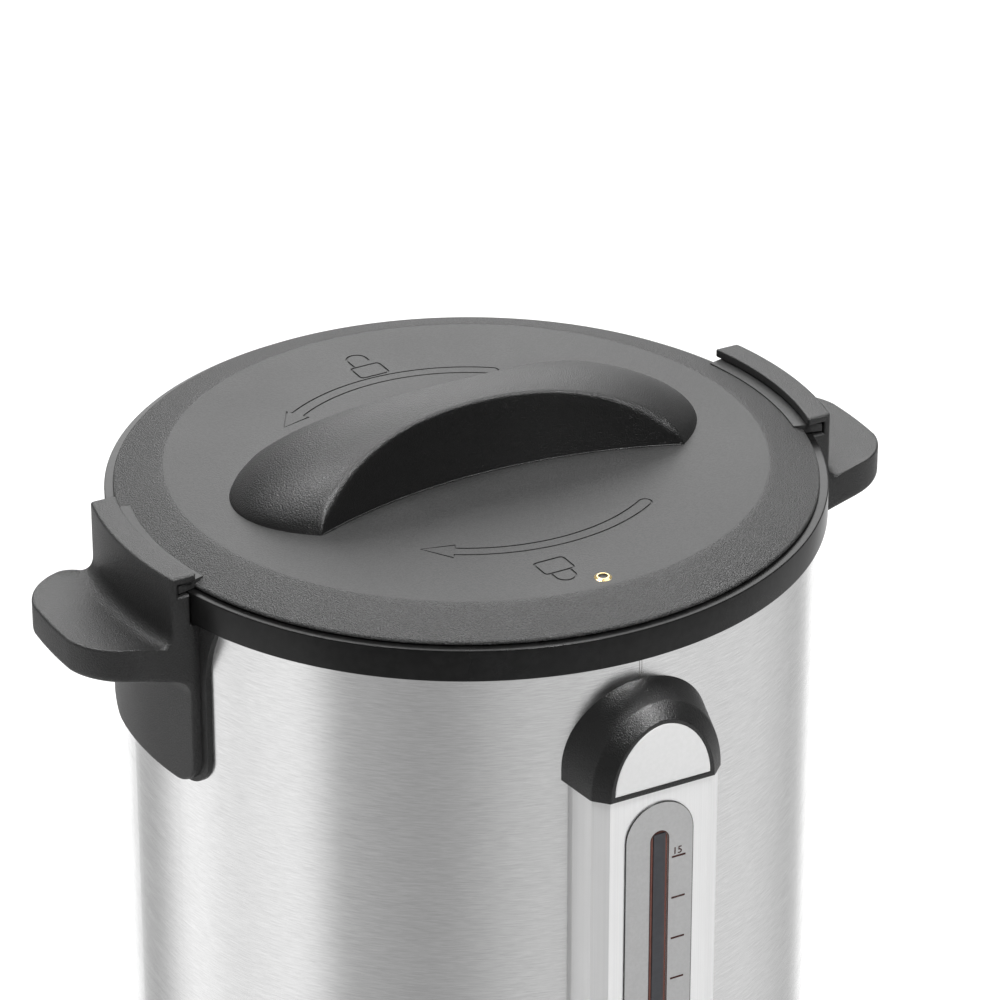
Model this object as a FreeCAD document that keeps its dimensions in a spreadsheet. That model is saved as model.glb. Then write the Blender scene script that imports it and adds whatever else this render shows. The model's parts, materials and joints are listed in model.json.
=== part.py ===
"""Coffee urn: a double-walled steel urn with a twist-lock lid, a level gauge and a lever tap.

Millimetres. Z is up and the axis of the urn, with the floor at z = 0; the gauge and the tap face -Y,
and the two side handles lie on X.
"""
import FreeCAD, Part
import math
import os
import Sketcher
from FreeCAD import Placement, Rotation, Vector

# Driving dimensions
SIZES = {
    # shell, tank and rim
    "ring_level": 460.0,            # lower edge of the rim ring above the table
    "air_gap": 7.4,                 # between tank and shell
    "shell_wall": 0.8,
    "tank_radius": 131.0,           # inside
    "tank_wall": 0.8,
    "tank_lift": 5.0,               # tank's floor above the base's rim
    "tank_corner": 5.0,
    "ring_overhang": 4.5,
    "ring_height": 13.3,
    "ring_cap": 3.5,                # thickness of the ring's top over the shell and the tank
    "ring_lap": 1.2,                # ring's inner edge outside the tank's wall
    "ring_bevel": 1.3,
    "sleeve_fit": 0.2,              # ring and base around the shell
    "wall_fit": 0.1,                # piece beside piece, nothing moving
    "screw_fit": 0.3,               # screw shank in a clearance hole
    # base
    "base_top": 92.0,
    "base_overhang": 4.5,
    "base_flare": 2.5,
    "base_flare_height": 9.0,
    "base_wall": 3.0,
    "base_lift": 3.0,               # skirt above the table
    "base_lip": 10.0,               # overlap of the base over the shell
    "base_ledge": 5.5,              # width of the ledge under the shell
    "base_floor": 6.0,              # underside of the base's bottom flange
    "base_flange_inset": 34.0,
    "foot_inset": 20.0,
    "foot_width": 12.0,
    "foot_bevel": 1.0,
    "cover_lap": 10.0,              # bottom cover over the flange
    "base_plate_wall": 1.2,
    "base_screw_count": 4,
    "base_boss_radius": 5.0,
    "base_boss_height": 9.0,
    # screws
    "screw_radius": 1.9,
    "screw_head_radius": 3.6,
    "screw_head": 1.7,
    "screw_bite": 8.0,              # length in what the screw holds
    # lid
    "lid_overhang": 1.0,
    "lid_edge_level": 15.3,         # all lid levels count from ring_level
    "lid_edge_gap": 0.6,            # lid's edge above the ring
    "lid_edge_band": 4.0,           # flat underside of the lid's edge
    "plateau_ease": 1.5,            # soft rim of the lid's flat top
    "plateau_ease_drop": 0.5,
    "plateau_inset": 18.0,
    "lid_plateau_level": 21.5,
    "lid_wall": 2.6,
    "rib_fit": 0.4,
    "lid_rib_wall": 2.6,
    "lid_rib_level": 5.0,
    "tab_root": 5.0,
    "tab_clearance": 0.5,
    "tab_thickness": 3.4,
    "tab_lift": 0.4,                # tab above the ring
    "tab_half_angle": 14.0,
    "liner_inset": 2.0,
    "liner_wall": 0.8,
    "liner_level": 2.2,
    "liner_rim": 8.8,
    "liner_screw_inset": 27.8,
    "liner_boss_radius": 4.5,
    "gasket_fit": 0.4,              # gasket's collar inside the tank
    "gasket_lip": 3.0,
    "gasket_lip_wall": 1.5,
    "gasket_drop": 4.5,
    "vent_inset": 7.9,
    "vent_offset": 2.2,             # to the left of the gauge
    "vent_radius": 2.45,
    "vent_bore": 2.0,
    "vent_flange_radius": 3.5,
    "vent_flange": 0.6,
    # lid handle
    "arch_half_length": 101.7,
    "arch_rise": 29.9,
    "arch_foot": 54.6,              # half width of the ellipse that rounds the ends
    "arch_waist": 16.2,             # half width between the flanks, at their foot
    "arch_scoop": 207.0,            # radius of each flank's foot in plan
    "arch_lean": 0.2,               # how far a flank leans in, for each unit of height
    "arch_crease": 1.5,             # rounding between the crown and the flanks
    "arch_wall": 3.0,
    "arch_foot_length": 31.7,       # solid foot at each end of the handle
    "arch_screw_inset": 20.0,
    "arch_screw_spread": 12.0,
    # side handles
    "handle_half_width": 37.0,
    "handle_thickness": 7.6,        # side handle outside the ring
    "handle_fit": 0.2,
    "hook_wall": 3.0,
    "hook_clearance": 1.0,
    "hook_top": 21.2,               # above ring_level
    "hook_thickness": 3.5,
    "ledge_level": 12.8,
    "shield_depth": 73.7,           # below ring_level
    "shield_wall": 5.2,
    "shield_corner": 12.0,
    "backing_margin": 3.4,          # thin plate behind the handle, wider than it
    "backing_flare": 6.6,
    "backing_flare_height": 24.0,
    "backing_wall": 1.9,
    "grip_length": 31.3,
    "grip_top": 9.0,                # below ring_level at the wall
    "grip_rise": 3.5,
    "grip_thickness": 17.0,
    "grip_tip": 14.0,
    "grip_corner": 27.0,
    "grip_fillet": 7.0,
    "grip_edge": 1.0,
    "handle_screw_level": 17.0,
    "handle_screw_spread": 22.0,
    # gauge column, scale plate and hood
    "column_draft": 1.5,
    "column_side": 28.0,
    "column_bevel_width": 6.3,
    "column_depth": 12.0,
    "column_bevel": 3.5,
    "column_wall": 0.8,
    "column_tuck": 5.6,             # column end inside the hood
    "hood_floor": 50.6,             # below ring_level
    "hood_centre": 44.3,
    "hood_draft": 3.5,
    "hood_margin": 1.0,
    "hood_step": 0.5,
    "hood_bevel": 5.4,
    "hood_proud": 2.5,
    "hood_rim": 2.9,
    "hood_plate_margin": 2.0,
    "hood_plate_wall": 0.8,
    "hood_plate_proud": 0.2,
    "scale_half_width": 14.9,
    "scale_wall": 0.6,
    "scale_top": 57.3,              # below ring_level
    "scale_rise": 25.0,
    "slot_half_width": 3.8,
    "slot_top": 70.2,
    "slot_rise": 36.0,              # slot's lower end above the tap's axis
    "tube_radius": 4.5,
    "tube_wall": 1.2,
    "tube_stand": 7.6,              # gauge tube's axis outside the shell
    "tube_top": 40.0,               # below ring_level
    "cap_wall": 1.9,
    "cap_height": 12.0,
    "column_foot_gap": 1.0,         # under the tap's flange
    "column_foot_floor": 3.0,
    "column_foot_margin": 2.5,
    # tap
    "tap_rise": 25.0,               # tap's axis above the tank's floor
    "tap_neck": 6.4,                # between the shank's socket and the chamber
    "shank_radius": 9.0,
    "shank_wall": 3.5,
    "shank_protrusion": 10.0,       # shank inside the tank
    "collar_width": 3.5,
    "shank_collar": 2.5,
    "washer_wall": 0.7,
    "nut_across": 28.0,
    "nut_height": 6.0,
    "seal_radius": 14.0,
    "nipple_wall": 0.8,
    "nipple_length": 21.0,
    "sleeve_wall": 1.5,
    "flange_width": 5.0,
    "flange_wall": 3.0,
    "socket_wall": 3.0,
    "socket_length": 12.0,
    "chamber_wall": 5.0,
    "chamber_bore": 8.0,
    "chamber_drop": 18.0,
    "chamber_rise": 16.0,
    "seat_rise": 8.0,               # valve seat above the chamber's bottom
    "valve_seat_bore": 5.0,
    "spout_wall": 2.5,
    "spout_bore": 6.5,
    "spout_length": 20.0,
    "bonnet_overhang": 1.5,
    "bonnet_height": 8.0,
    "bonnet_bevel": 2.0,
    "stem_radius": 2.5,
    "stem_fit": 0.08,
    "plug_gap": 1.2,
    "plug_height": 4.0,
    "stem_collar_step": 0.8,        # stem's collar inside the washer's rim
    "stem_collar_height": 1.5,
    "stem_crown": 1.5,              # stem above its pin
    "spring_wire": 0.7,
    "spring_gap": 2.2,              # spring's coil outside the stem
    "spring_turns": 5,
    "cam_gap": 0.4,                 # cam above the bonnet
    "pin_radius": 1.5,
    "pin_fit": 0.08,
    "cam_radius": 7.0,
    "cam_offset": 5.6,
    "lever_half_width": 8.0,
    "fork_gap": 0.5,                # lever's fork beside the stem
    "lever_length": 44.0,
    "lever_thickness": 9.0,
    "lever_knob": 7.5,
    # controls in the base
    "panel_proud": 2.1,
    "panel_depth": 7.5,
    "panel_drop": 47.0,             # controls below the base's rim
    "switch_angle": 30.0,
    "switch_rim_width": 3.4,
    "switch_rim_height": 3.2,
    "switch_bezel": 1.6,
    "switch_depth": 22.0,
    "switch_margin": 4.0,
    "lug_spacing": 5.0,
    "lug_half_width": 1.0,
    "lug_half_height": 3.0,
    "lug_length": 7.0,
    "rocker_half_width": 7.6,
    "rocker_half_height": 11.2,
    "rocker_swing": 2.6,
    "rocker_recess": 5.0,
    "rocker_gap": 0.4,
    "rocker_room": 6.0,             # pocket behind the rocker's pivot
    "rocker_pin_gap": 0.2,          # at each end of the rocker's pins
    "bearing_wall": 0.4,
    "trunnion_radius": 1.5,
    "lamp_angle": 24.0,
    "lamp_step": 12.0,
    "lamp_radius": 4.9,
    "lamp_flange_width": 2.1,
    "lamp_flange": 1.6,
    "lamp_depth": 18.0,
    "lamp_boss_width": 2.5,
    "inlet_ear": 5.0,
    "inlet_lap": 1.5,
    "inlet_flange": 2.5,
    "inlet_side_wall": 2.8,
    "inlet_top_wall": 2.2,
    "inlet_back": 10.0,
    "inlet_mouth_half_width": 12.2,
    "inlet_mouth_half_height": 8.3,
    "inlet_mouth_depth": 17.0,
    "inlet_screw_gap": 5.0,
    "blade_width": 2.0,
    "blade_height": 4.0,
    "blade_spacing": 7.0,
    "blade_offset": 2.0,
    # heater
    "heater_radius": 64.0,
    "heater_plate_wall": 5.0,
    "element_radius": 50.0,
    "element_tube": 4.2,
    "element_sweep": 300.0,
    "element_drop": 24.0,
    "thermostat_radius": 8.0,
    "thermostat_height": 8.0,
    "thermostat_reach": 18.0,
    "ear_length": 5.0,
    "ear_half_width": 2.0,
    "ear_wall": 1.0,
    "strap_half_length": 38.0,
    "strap_half_width": 6.0,
    "strap_wall": 1.0,
    "stud_radius": 1.6,
    "stud_inset": 4.0,
    "terminal_length": 36.0,
    "terminal_width": 18.0,
    "terminal_height": 16.0,
    "terminal_well": 2.6,
    # percolator
    "bell_radius": 42.0,
    "bell_skirt": 2.5,
    "bell_height": 14.0,
    "riser_radius": 6.3,
    "riser_wall": 1.0,
    "riser_blend": 2.0,             # slope under the neck and under the collar
    "riser_gap": 14.0,              # riser's top below ring_level
    "riser_collar_width": 3.2,
    "pump_washer_radius": 14.0,
    "pump_washer_wall": 1.0,
    "riser_standing": 18.0,         # riser above the basket's rim
    "basket_radius": 72.0,
    "basket_height": 98.0,
    "basket_wall": 0.8,
    "basket_sleeve": 50.0,
    "basket_fit": 0.5,
    "cover_rim": 5.0,
    "perforation_radius": 1.4,
    "perforation_pitch": 10.5,
}

doc = FreeCAD.newDocument("coffee_urn")
sheet = doc.addObject("Spreadsheet::Sheet", "Sizes")
for row, (alias, number) in enumerate(SIZES.items(), 1):
    sheet.set("A%d" % row, alias)
    sheet.set("B%d" % row, str(number))
    sheet.setAlias("B%d" % row, alias)
doc.recompute()


class Dim:
    """A size as a number, together with the sheet expression that it comes from."""

    def __init__(self, number, text):
        self.number = number
        self.text = text

    def __float__(self):
        return float(self.number)

    def __add__(self, other):
        return Dim(float(self) + float(other), "(%s + %s)" % (self.text, words(other)))

    def __radd__(self, other):
        return Dim(float(other) + float(self), "(%s + %s)" % (words(other), self.text))

    def __sub__(self, other):
        return Dim(float(self) - float(other), "(%s - %s)" % (self.text, words(other)))

    def __rsub__(self, other):
        return Dim(float(other) - float(self), "(%s - %s)" % (words(other), self.text))

    def __mul__(self, other):
        return Dim(float(self) * float(other), "(%s * %s)" % (self.text, words(other)))

    __rmul__ = __mul__

    def __truediv__(self, other):
        return Dim(float(self) / float(other), "(%s / %s)" % (self.text, words(other)))

    def __neg__(self):
        return Dim(-float(self), "(0 - %s)" % self.text)


def words(size):
    """The expression text of a size or of a plain number."""
    return size.text if isinstance(size, Dim) else "%.6f" % size


class Sizes:
    """Reads a named size from the sheet: S.body_radius."""

    def __getattr__(self, alias):
        return Dim(float(sheet.get(alias)), "Sizes." + alias)


S = Sizes()
NODES = []
BEND_STEPS = 6  # pieces of a quarter arc in a sketch
BACKING_SWELL = [(1.0, 0.0), (0.55, 0.32), (0.2, 0.64)]  # shares of the flare and of its height
CROWN_BEND = 2.22  # powers that shape the lid handle's dome
CROWN_FALL = 0.7
COLUMN_SCREW_HIGH = 0.8  # shares of the column's front half width
COLUMN_SCREW_LOW = 0.5
COLUMN_BEVEL_SHARE = 0.4  # how much of a margin the column's narrow front face takes
PERFORATION_STEP = 1.4  # spacing along a ring of perforations, in pitches
WALL_DRILL = 20.0  # a drill that passes both walls at the front
# The rocker's side: distance out from the pivot, and share of its half height
ROCKER_SIDE = [(-3, -0.36), (3, -1), (5, -1), (6.5, 0), (9, 1), (4.5, 1), (-3, 0.36)]

# Directions that a rod or a tube may point in
ALONG = {
    "z": Rotation(),
    "-z": Rotation(Vector(1, 0, 0), 180),
    "x": Rotation(Vector(0, 1, 0), 90),
    "-x": Rotation(Vector(0, 1, 0), -90),
    "y": Rotation(Vector(1, 0, 0), -90),
    "-y": Rotation(Vector(1, 0, 0), 90),
}


def bind(thing, path, size):
    """Ties a property to the sheet."""
    if isinstance(size, Dim):
        thing.setExpression(path, size.text)


def put(thing, at, along="z"):
    """Places a primitive's own origin, with its axis in the given direction."""
    thing.Placement = Placement(Vector(*[float(size) for size in at]), ALONG[along])
    for letter, size in zip("xyz", at):
        bind(thing, "Placement.Base." + letter, size)
    return thing


def rod(name, radius, length, at=(0, 0, 0), along="z"):
    """A round bar."""
    thing = doc.addObject("Part::Cylinder", name)
    thing.Radius = float(radius)
    thing.Height = float(length)
    bind(thing, "Radius", radius)
    bind(thing, "Height", length)
    return put(thing, at, along)


def block(name, low, high):
    """A box between two corners."""
    thing = doc.addObject("Part::Box", name)
    for side, least, most in zip(("Length", "Width", "Height"), low, high):
        setattr(thing, side, float(most) - float(least))
        bind(thing, side, most - least if isinstance(most, Dim) or isinstance(least, Dim) else None)
    return put(thing, low)


def hexagon(name, across, length, at, along="z"):
    """A hexagon bar, by its width across the flats."""
    thing = doc.addObject("Part::Prism", name)
    thing.Polygon = 6
    thing.Circumradius = float(across) / math.sqrt(3)
    thing.Height = float(length)
    bind(thing, "Circumradius", across / math.sqrt(3))
    bind(thing, "Height", length)
    return put(thing, at, along)


def join(name, *things):
    """Several solids fused into one."""
    thing = doc.addObject("Part::MultiFuse", name)
    thing.Shapes = list(things)
    thing.Refine = True
    return thing


def cut(name, base, *tools):
    """A solid with one or more others taken out of it."""
    thing = doc.addObject("Part::Cut", name)
    thing.Base = base
    thing.Tool = tools[0] if len(tools) == 1 else join(name + "_tools", *tools)
    thing.Refine = True
    return thing


def overlap(name, *things):
    """What several solids have in common."""
    thing = doc.addObject("Part::MultiCommon", name)
    thing.Shapes = list(things)
    return thing


def bundle(name, things):
    """Separate solids that share one node."""
    thing = doc.addObject("Part::Compound", name)
    thing.Links = list(things)
    return thing


def plane(body, role):
    """One of a body's own origin planes."""
    return [feature for feature in body.Origin.OriginFeatures if feature.Role == role][0]


def outline(sketch, points):
    """A closed polygon in a sketch, each corner tied to the sheet."""
    count = len(points)
    spots = [Vector(float(across), float(up), 0) for across, up in points]
    for i in range(count):
        sketch.addGeometry(Part.LineSegment(spots[i], spots[(i + 1) % count]), False)
    for i in range(count):
        sketch.addConstraint(Sketcher.Constraint("Coincident", i, 2, (i + 1) % count, 1))
    for i, (across, up) in enumerate(points):
        for kind, size, letter in (("DistanceX", across, "x"), ("DistanceY", up, "y")):
            number = sketch.addConstraint(Sketcher.Constraint(kind, -1, 1, i, 1, float(size)))
            sketch.renameConstraint(number, "p%d%s" % (i, letter))
            bind(sketch, "Constraints.p%d%s" % (i, letter), size)


def sketched(name, role, points, offset=0):
    """A new body with one sketch of a polygon on the given origin plane."""
    body = doc.addObject("PartDesign::Body", name + "_body")
    sketch = body.newObject("Sketcher::SketchObject", name + "_sketch")
    sketch.AttachmentSupport = [(plane(body, role), "")]
    sketch.MapMode = "FlatFace"
    sketch.AttachmentOffset = Placement(Vector(0, 0, float(offset)), Rotation())
    bind(sketch, "AttachmentOffset.Base.z", offset)
    outline(sketch, points)
    return body, sketch


def turned(name, profile, at=(0, 0, 0), along="z"):
    """A round piece: its profile of (radius, height) corners turned about the vertical axis."""
    body, sketch = sketched(name, "XZ_Plane", profile)
    turn = body.newObject("PartDesign::Revolution", name + "_turn")
    turn.Profile = sketch
    turn.ReferenceAxis = (sketch, ["V_Axis"])
    turn.Angle = 360
    body.Tip = turn
    return put(body, at, along)


def pulled(name, role, points, offset, length, both_ways=False):
    """A piece of one section: a polygon pulled straight out of an origin plane."""
    body, sketch = sketched(name, role, points, offset)
    pad = body.newObject("PartDesign::Pad", name + "_pad")
    pad.Profile = sketch
    pad.Length = float(length)
    pad.Midplane = both_ways
    bind(pad, "Length", length)
    body.Tip = pad
    return body


def rounded(name, base, radius, wanted):
    """A solid with the edges that pass a test rounded off."""
    doc.recompute()
    edges = [i for i, edge in enumerate(base.Shape.Edges, 1) if wanted(edge)]
    thing = doc.addObject("Part::Fillet", name)
    thing.Base = base
    thing.Edges = [(i, float(radius), float(radius)) for i in edges]
    return thing


def made(name, shape):
    """A form that neither a sketch nor a primitive gives."""
    thing = doc.addObject("Part::Feature", name)
    thing.Shape = shape
    return thing


def spun(thing, angle):
    """Turns a finished piece about the urn's axis."""
    thing.Placement = Placement(Vector(), Rotation(Vector(0, 0, 1), float(angle)))
    bind(thing, "Placement.Rotation.Angle", angle)
    return thing


def spun_copy(name, source, angle):
    """A copy of a piece, turned about the urn's axis."""
    thing = doc.addObject("Part::Compound", name)
    thing.Links = [source]
    return spun(thing, angle)


def node(label, thing):
    """Names a finished piece; the label is its file's name."""
    thing.Label = label
    NODES.append(thing)
    return thing


def around(circle, count, start=0.0):
    """Evenly spaced places on a circle about the axis, as (x, y) pairs."""
    total = round(float(count))
    places = []
    for i in range(total):
        angle = math.radians(start + 360.0 * i / total)
        places.append((circle * math.cos(angle), circle * math.sin(angle)))
    return places


def screw(name, at, along, grip):
    """A pan-head screw: at is the underside of its head, and the shank runs along."""
    shank = rod(name + "_shank", S.screw_radius, grip, at, along)
    cap = rod(name + "_head", S.screw_head_radius, S.screw_head, at, along)
    step = [round(share) for share in ALONG[along].multVec(Vector(0, 0, 1))]
    back = [size - S.screw_head * share if share else size for size, share in zip(at, step)]
    put(cap, back, along)
    return join(name, shank, cap)


# Radii and levels that several pieces share
BODY_RADIUS = S.tank_radius + S.tank_wall + S.air_gap + S.shell_wall
RING_RADIUS = BODY_RADIUS + S.ring_overhang
RING_INNER = S.tank_radius + S.ring_lap
BASE_RADIUS = BODY_RADIUS + S.base_overhang
FLARE_RADIUS = BASE_RADIUS + S.base_flare
FLANGE_BORE = BODY_RADIUS - S.base_flange_inset
FOOT_INNER = BODY_RADIUS - S.foot_inset
COVER_RADIUS = FLANGE_BORE + S.cover_lap
COVER_CIRCLE = FLANGE_BORE + S.cover_lap / 2
LID_RADIUS = BODY_RADIUS + S.lid_overhang
PLATEAU_RADIUS = BODY_RADIUS - S.plateau_inset
LINER_RADIUS = S.tank_radius - S.liner_inset
RIB_RADIUS = LINER_RADIUS - S.liner_wall - S.rib_fit
LINER_CIRCLE = RIB_RADIUS - S.liner_screw_inset
VENT_CIRCLE = PLATEAU_RADIUS - S.vent_inset
HANDLE_WALL = RING_RADIUS + S.handle_fit + S.handle_thickness
HOOK_INNER = LID_RADIUS + S.hook_clearance
TAB_INNER = LID_RADIUS - S.tab_root
TAB_RADIUS = HANDLE_WALL - S.hook_wall - S.tab_clearance
GRIP_REACH = HANDLE_WALL + S.grip_length
ARCH_HOLLOW = S.arch_half_length - S.arch_foot_length
ARCH_SCREW_REACH = S.arch_half_length - S.arch_screw_inset
COLUMN_SHOULDER = BODY_RADIUS + S.column_depth
COLUMN_FACE = COLUMN_SHOULDER + S.column_bevel
COLUMN_BACK = S.column_side + S.column_draft
COLUMN_FRONT = S.column_side - S.column_bevel_width
HOOD_MID = COLUMN_SHOULDER + S.hood_step
HOOD_FACE = COLUMN_FACE + S.hood_proud
HOOD_MID_RADIUS = S.column_side + S.hood_margin
HOOD_FRONT_RADIUS = HOOD_MID_RADIUS - S.hood_bevel
HOOD_BACK_RADIUS = HOOD_MID_RADIUS + S.hood_draft
HOOD_PLATE_RADIUS = HOOD_FRONT_RADIUS - S.hood_rim
TUBE_Y = BODY_RADIUS + S.tube_stand
SLEEVE_RADIUS = S.tube_radius + S.sleeve_wall
NIPPLE_RADIUS = SLEEVE_RADIUS + S.nipple_wall
CAP_RADIUS = S.tube_radius + S.cap_wall
TANK_FLOOR = S.base_top + S.tank_lift
TAP_LEVEL = TANK_FLOOR + S.tap_rise
NIPPLE_TOP = TAP_LEVEL + S.nipple_length
CHAMBER_BOTTOM = TAP_LEVEL - S.chamber_drop
CHAMBER_TOP = TAP_LEVEL + S.chamber_rise
VALVE_SEAT = CHAMBER_BOTTOM + S.seat_rise
SPOUT_END = CHAMBER_BOTTOM - S.spout_length
SLOT_BOTTOM = TAP_LEVEL + S.slot_rise
SCALE_BOTTOM = TAP_LEVEL + S.scale_rise
SHANK_BORE = S.shank_radius - S.shank_wall
SHANK_INSIDE = S.tank_radius - S.shank_protrusion
COLLAR_RADIUS = S.shank_radius + S.collar_width
SOCKET_RADIUS = S.shank_radius + S.socket_wall
FLANGE_RADIUS = SOCKET_RADIUS + S.flange_width
COLUMN_FOOT_TOP = TAP_LEVEL - FLANGE_RADIUS - S.column_foot_gap
CHAMBER_RADIUS = S.chamber_bore + S.chamber_wall
TAP_REACH = COLUMN_FACE + S.flange_wall + S.wall_fit + S.socket_length + S.tap_neck + CHAMBER_RADIUS
SPOUT_RADIUS = S.spout_bore + S.spout_wall
BONNET_RADIUS = CHAMBER_RADIUS + S.bonnet_overhang
PLUG_RADIUS = S.chamber_bore - S.plug_gap
LEVER_SLOT = S.stem_radius + S.fork_gap
PIN_HEIGHT = S.cam_radius + S.cam_gap
PANEL_FACE = BASE_RADIUS + S.panel_proud
PANEL_BACK = BASE_RADIUS - S.panel_depth
PANEL_LEVEL = S.base_top - S.panel_drop
ROCKER_POCKET = S.rocker_half_height + S.rocker_swing
SWITCH_WIDE = S.rocker_half_width + S.switch_rim_width
SWITCH_TALL = ROCKER_POCKET + S.switch_rim_height
ROCKER_PIVOT = PANEL_FACE - S.rocker_recess
LAMP_FLANGE_RADIUS = S.lamp_radius + S.lamp_flange_width
LAMP_BOSS_RADIUS = LAMP_FLANGE_RADIUS + S.lamp_boss_width
INLET_BODY_WIDE = S.inlet_mouth_half_width + S.inlet_side_wall
INLET_BODY_TALL = S.inlet_mouth_half_height + S.inlet_top_wall
INLET_TALL = INLET_BODY_TALL + S.inlet_lap
INLET_SCREW_REACH = INLET_BODY_WIDE + S.inlet_screw_gap
INLET_WIDE = INLET_SCREW_REACH + S.inlet_ear
INLET_DEPTH = S.inlet_mouth_depth + S.inlet_back
RISER_TOP = S.ring_level - S.riser_gap
BASKET_FLOOR = RISER_TOP - S.riser_standing - S.basket_height
RISER_COLLAR = S.riser_radius + S.riser_collar_width
SHELL_TOP = S.ring_level + S.ring_height - S.ring_cap
RING_TOP = S.ring_level + S.ring_height
LEDGE = S.base_top - S.base_lip
COLUMN_TOP = S.ring_level - S.hood_floor + S.column_tuck
PLATEAU = S.ring_level + S.lid_plateau_level
HOLE = S.screw_radius + S.screw_fit
HANDLE_SCREWS = [(sign * S.handle_screw_spread, S.ring_level - S.handle_screw_level) for sign in (-1, 1)]


def up(size):
    """A height counted from the ring's lower edge."""
    return S.ring_level + size


def base_section():
    """The skirt, its lip round the shell, the ledge under the shell and the bottom flange."""
    inside = BASE_RADIUS - S.base_wall
    foot_inside = FLARE_RADIUS - S.base_wall
    lip = BODY_RADIUS + S.sleeve_fit
    shelf = lip - S.base_ledge
    return [
        (FLARE_RADIUS, S.base_lift), (FLARE_RADIUS, S.base_flare_height),
        (BASE_RADIUS, S.base_flare_height + 2 * S.base_wall), (BASE_RADIUS, S.base_top - 1),
        (BASE_RADIUS - 1, S.base_top), (lip, S.base_top), (lip, LEDGE), (shelf, LEDGE),
        (shelf, LEDGE - S.base_wall), (inside, LEDGE - 2 * S.base_wall),
        (inside, S.base_flare_height + 3 * S.base_wall), (foot_inside, S.base_floor + 2 * S.base_wall),
        (foot_inside, S.base_floor + S.base_wall), (FLANGE_BORE, S.base_floor + S.base_wall),
        (FLANGE_BORE, S.base_floor), (foot_inside, S.base_floor), (foot_inside, S.base_lift),
    ]


def panel_places():
    """Angle of each control from the front, counted towards +X."""
    return {"switch": S.switch_angle, "brew": -S.lamp_angle, "ready": -S.lamp_angle - S.lamp_step,
            "inlet": Dim(180, "180")}


def base_shell():
    """The black skirt with its flats and openings for the controls and its screw bosses."""
    skirt = turned("skirt", base_section())
    flats = {
        "switch": block("switch_flat",
                        (-SWITCH_WIDE - S.switch_margin, -PANEL_FACE,
                         PANEL_LEVEL - SWITCH_TALL - S.switch_margin),
                        (SWITCH_WIDE + S.switch_margin, -PANEL_BACK,
                         PANEL_LEVEL + SWITCH_TALL + S.switch_margin)),
        "inlet": block("inlet_flat",
                       (-INLET_WIDE - S.switch_margin, -PANEL_FACE,
                        PANEL_LEVEL - INLET_TALL - S.switch_margin),
                       (INLET_WIDE + S.switch_margin, -PANEL_BACK,
                        PANEL_LEVEL + INLET_TALL + S.switch_margin)),
    }
    mouths = {
        "switch": block("switch_mouth",
                        (-SWITCH_WIDE + S.switch_bezel, -PANEL_FACE - 1,
                         PANEL_LEVEL - SWITCH_TALL + S.switch_bezel),
                        (SWITCH_WIDE - S.switch_bezel, 1 - PANEL_BACK,
                         PANEL_LEVEL + SWITCH_TALL - S.switch_bezel)),
        "inlet": join("inlet_mouths",
                      block("inlet_mouth",
                            (-INLET_BODY_WIDE, -PANEL_FACE - 1, PANEL_LEVEL - INLET_BODY_TALL),
                            (INLET_BODY_WIDE, 1 - PANEL_BACK, PANEL_LEVEL + INLET_BODY_TALL)),
                      *[rod("inlet_pilot_%d" % (sign + 1), S.screw_radius, PANEL_FACE - PANEL_BACK + 2,
                            (sign * INLET_SCREW_REACH, -PANEL_FACE - 1, PANEL_LEVEL), "y")
                        for sign in (-1, 1)]),
    }
    for lamp in ("brew", "ready"):
        flats[lamp] = rod(lamp + "_flat", LAMP_BOSS_RADIUS, PANEL_FACE - PANEL_BACK,
                          (0, -PANEL_FACE, PANEL_LEVEL), "y")
        mouths[lamp] = rod(lamp + "_mouth", S.lamp_radius + S.wall_fit, PANEL_FACE - PANEL_BACK + 2,
                           (0, -PANEL_FACE - 1, PANEL_LEVEL), "y")
    angles = panel_places()
    bosses = []
    pilots = []
    for i, (x, y) in enumerate(around(COVER_CIRCLE, S.base_screw_count, 45)):
        bosses.append(rod("base_boss_%d" % i, S.base_boss_radius, S.base_boss_height + S.base_wall,
                          (x, y, S.base_floor)))
        pilots.append(rod("base_pilot_%d" % i, S.screw_radius, S.screw_bite, (x, y, S.base_floor)))
    solid = join("base_solid", skirt, *bosses,
                 *[spun_copy(key + "_boss", flats[key], angles[key]) for key in flats])
    return node("base_shell", cut("base_cut", solid, *pilots,
                                  *[spun_copy(key + "_opening", mouths[key], angles[key]) for key in mouths]))


def base_bottom():
    """The bottom cover, its screws and the rubber foot ring."""
    top = S.base_floor
    cover = rod("cover_disc", COVER_RADIUS, S.base_plate_wall, (0, 0, top - S.base_plate_wall))
    places = around(COVER_CIRCLE, S.base_screw_count, 45)
    holes = [rod("cover_hole_%d" % i, HOLE, S.base_plate_wall + 2, (x, y, top - S.base_plate_wall - 1))
             for i, (x, y) in enumerate(places)]
    node("base_plate", cut("cover_cut", cover, *holes))
    node("base_screws", bundle("base_screw_set", [
        screw("base_screw_%d" % i, (x, y, top - S.base_plate_wall), "z", S.screw_bite)
        for i, (x, y) in enumerate(places)]))
    outer = FOOT_INNER + S.foot_width
    node("foot_ring", turned("foot", [
        (FOOT_INNER + S.foot_bevel, 0), (outer - S.foot_bevel, 0), (outer, S.foot_bevel),
        (outer, S.base_floor), (FOOT_INNER, S.base_floor), (FOOT_INNER, S.foot_bevel)]))


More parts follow.
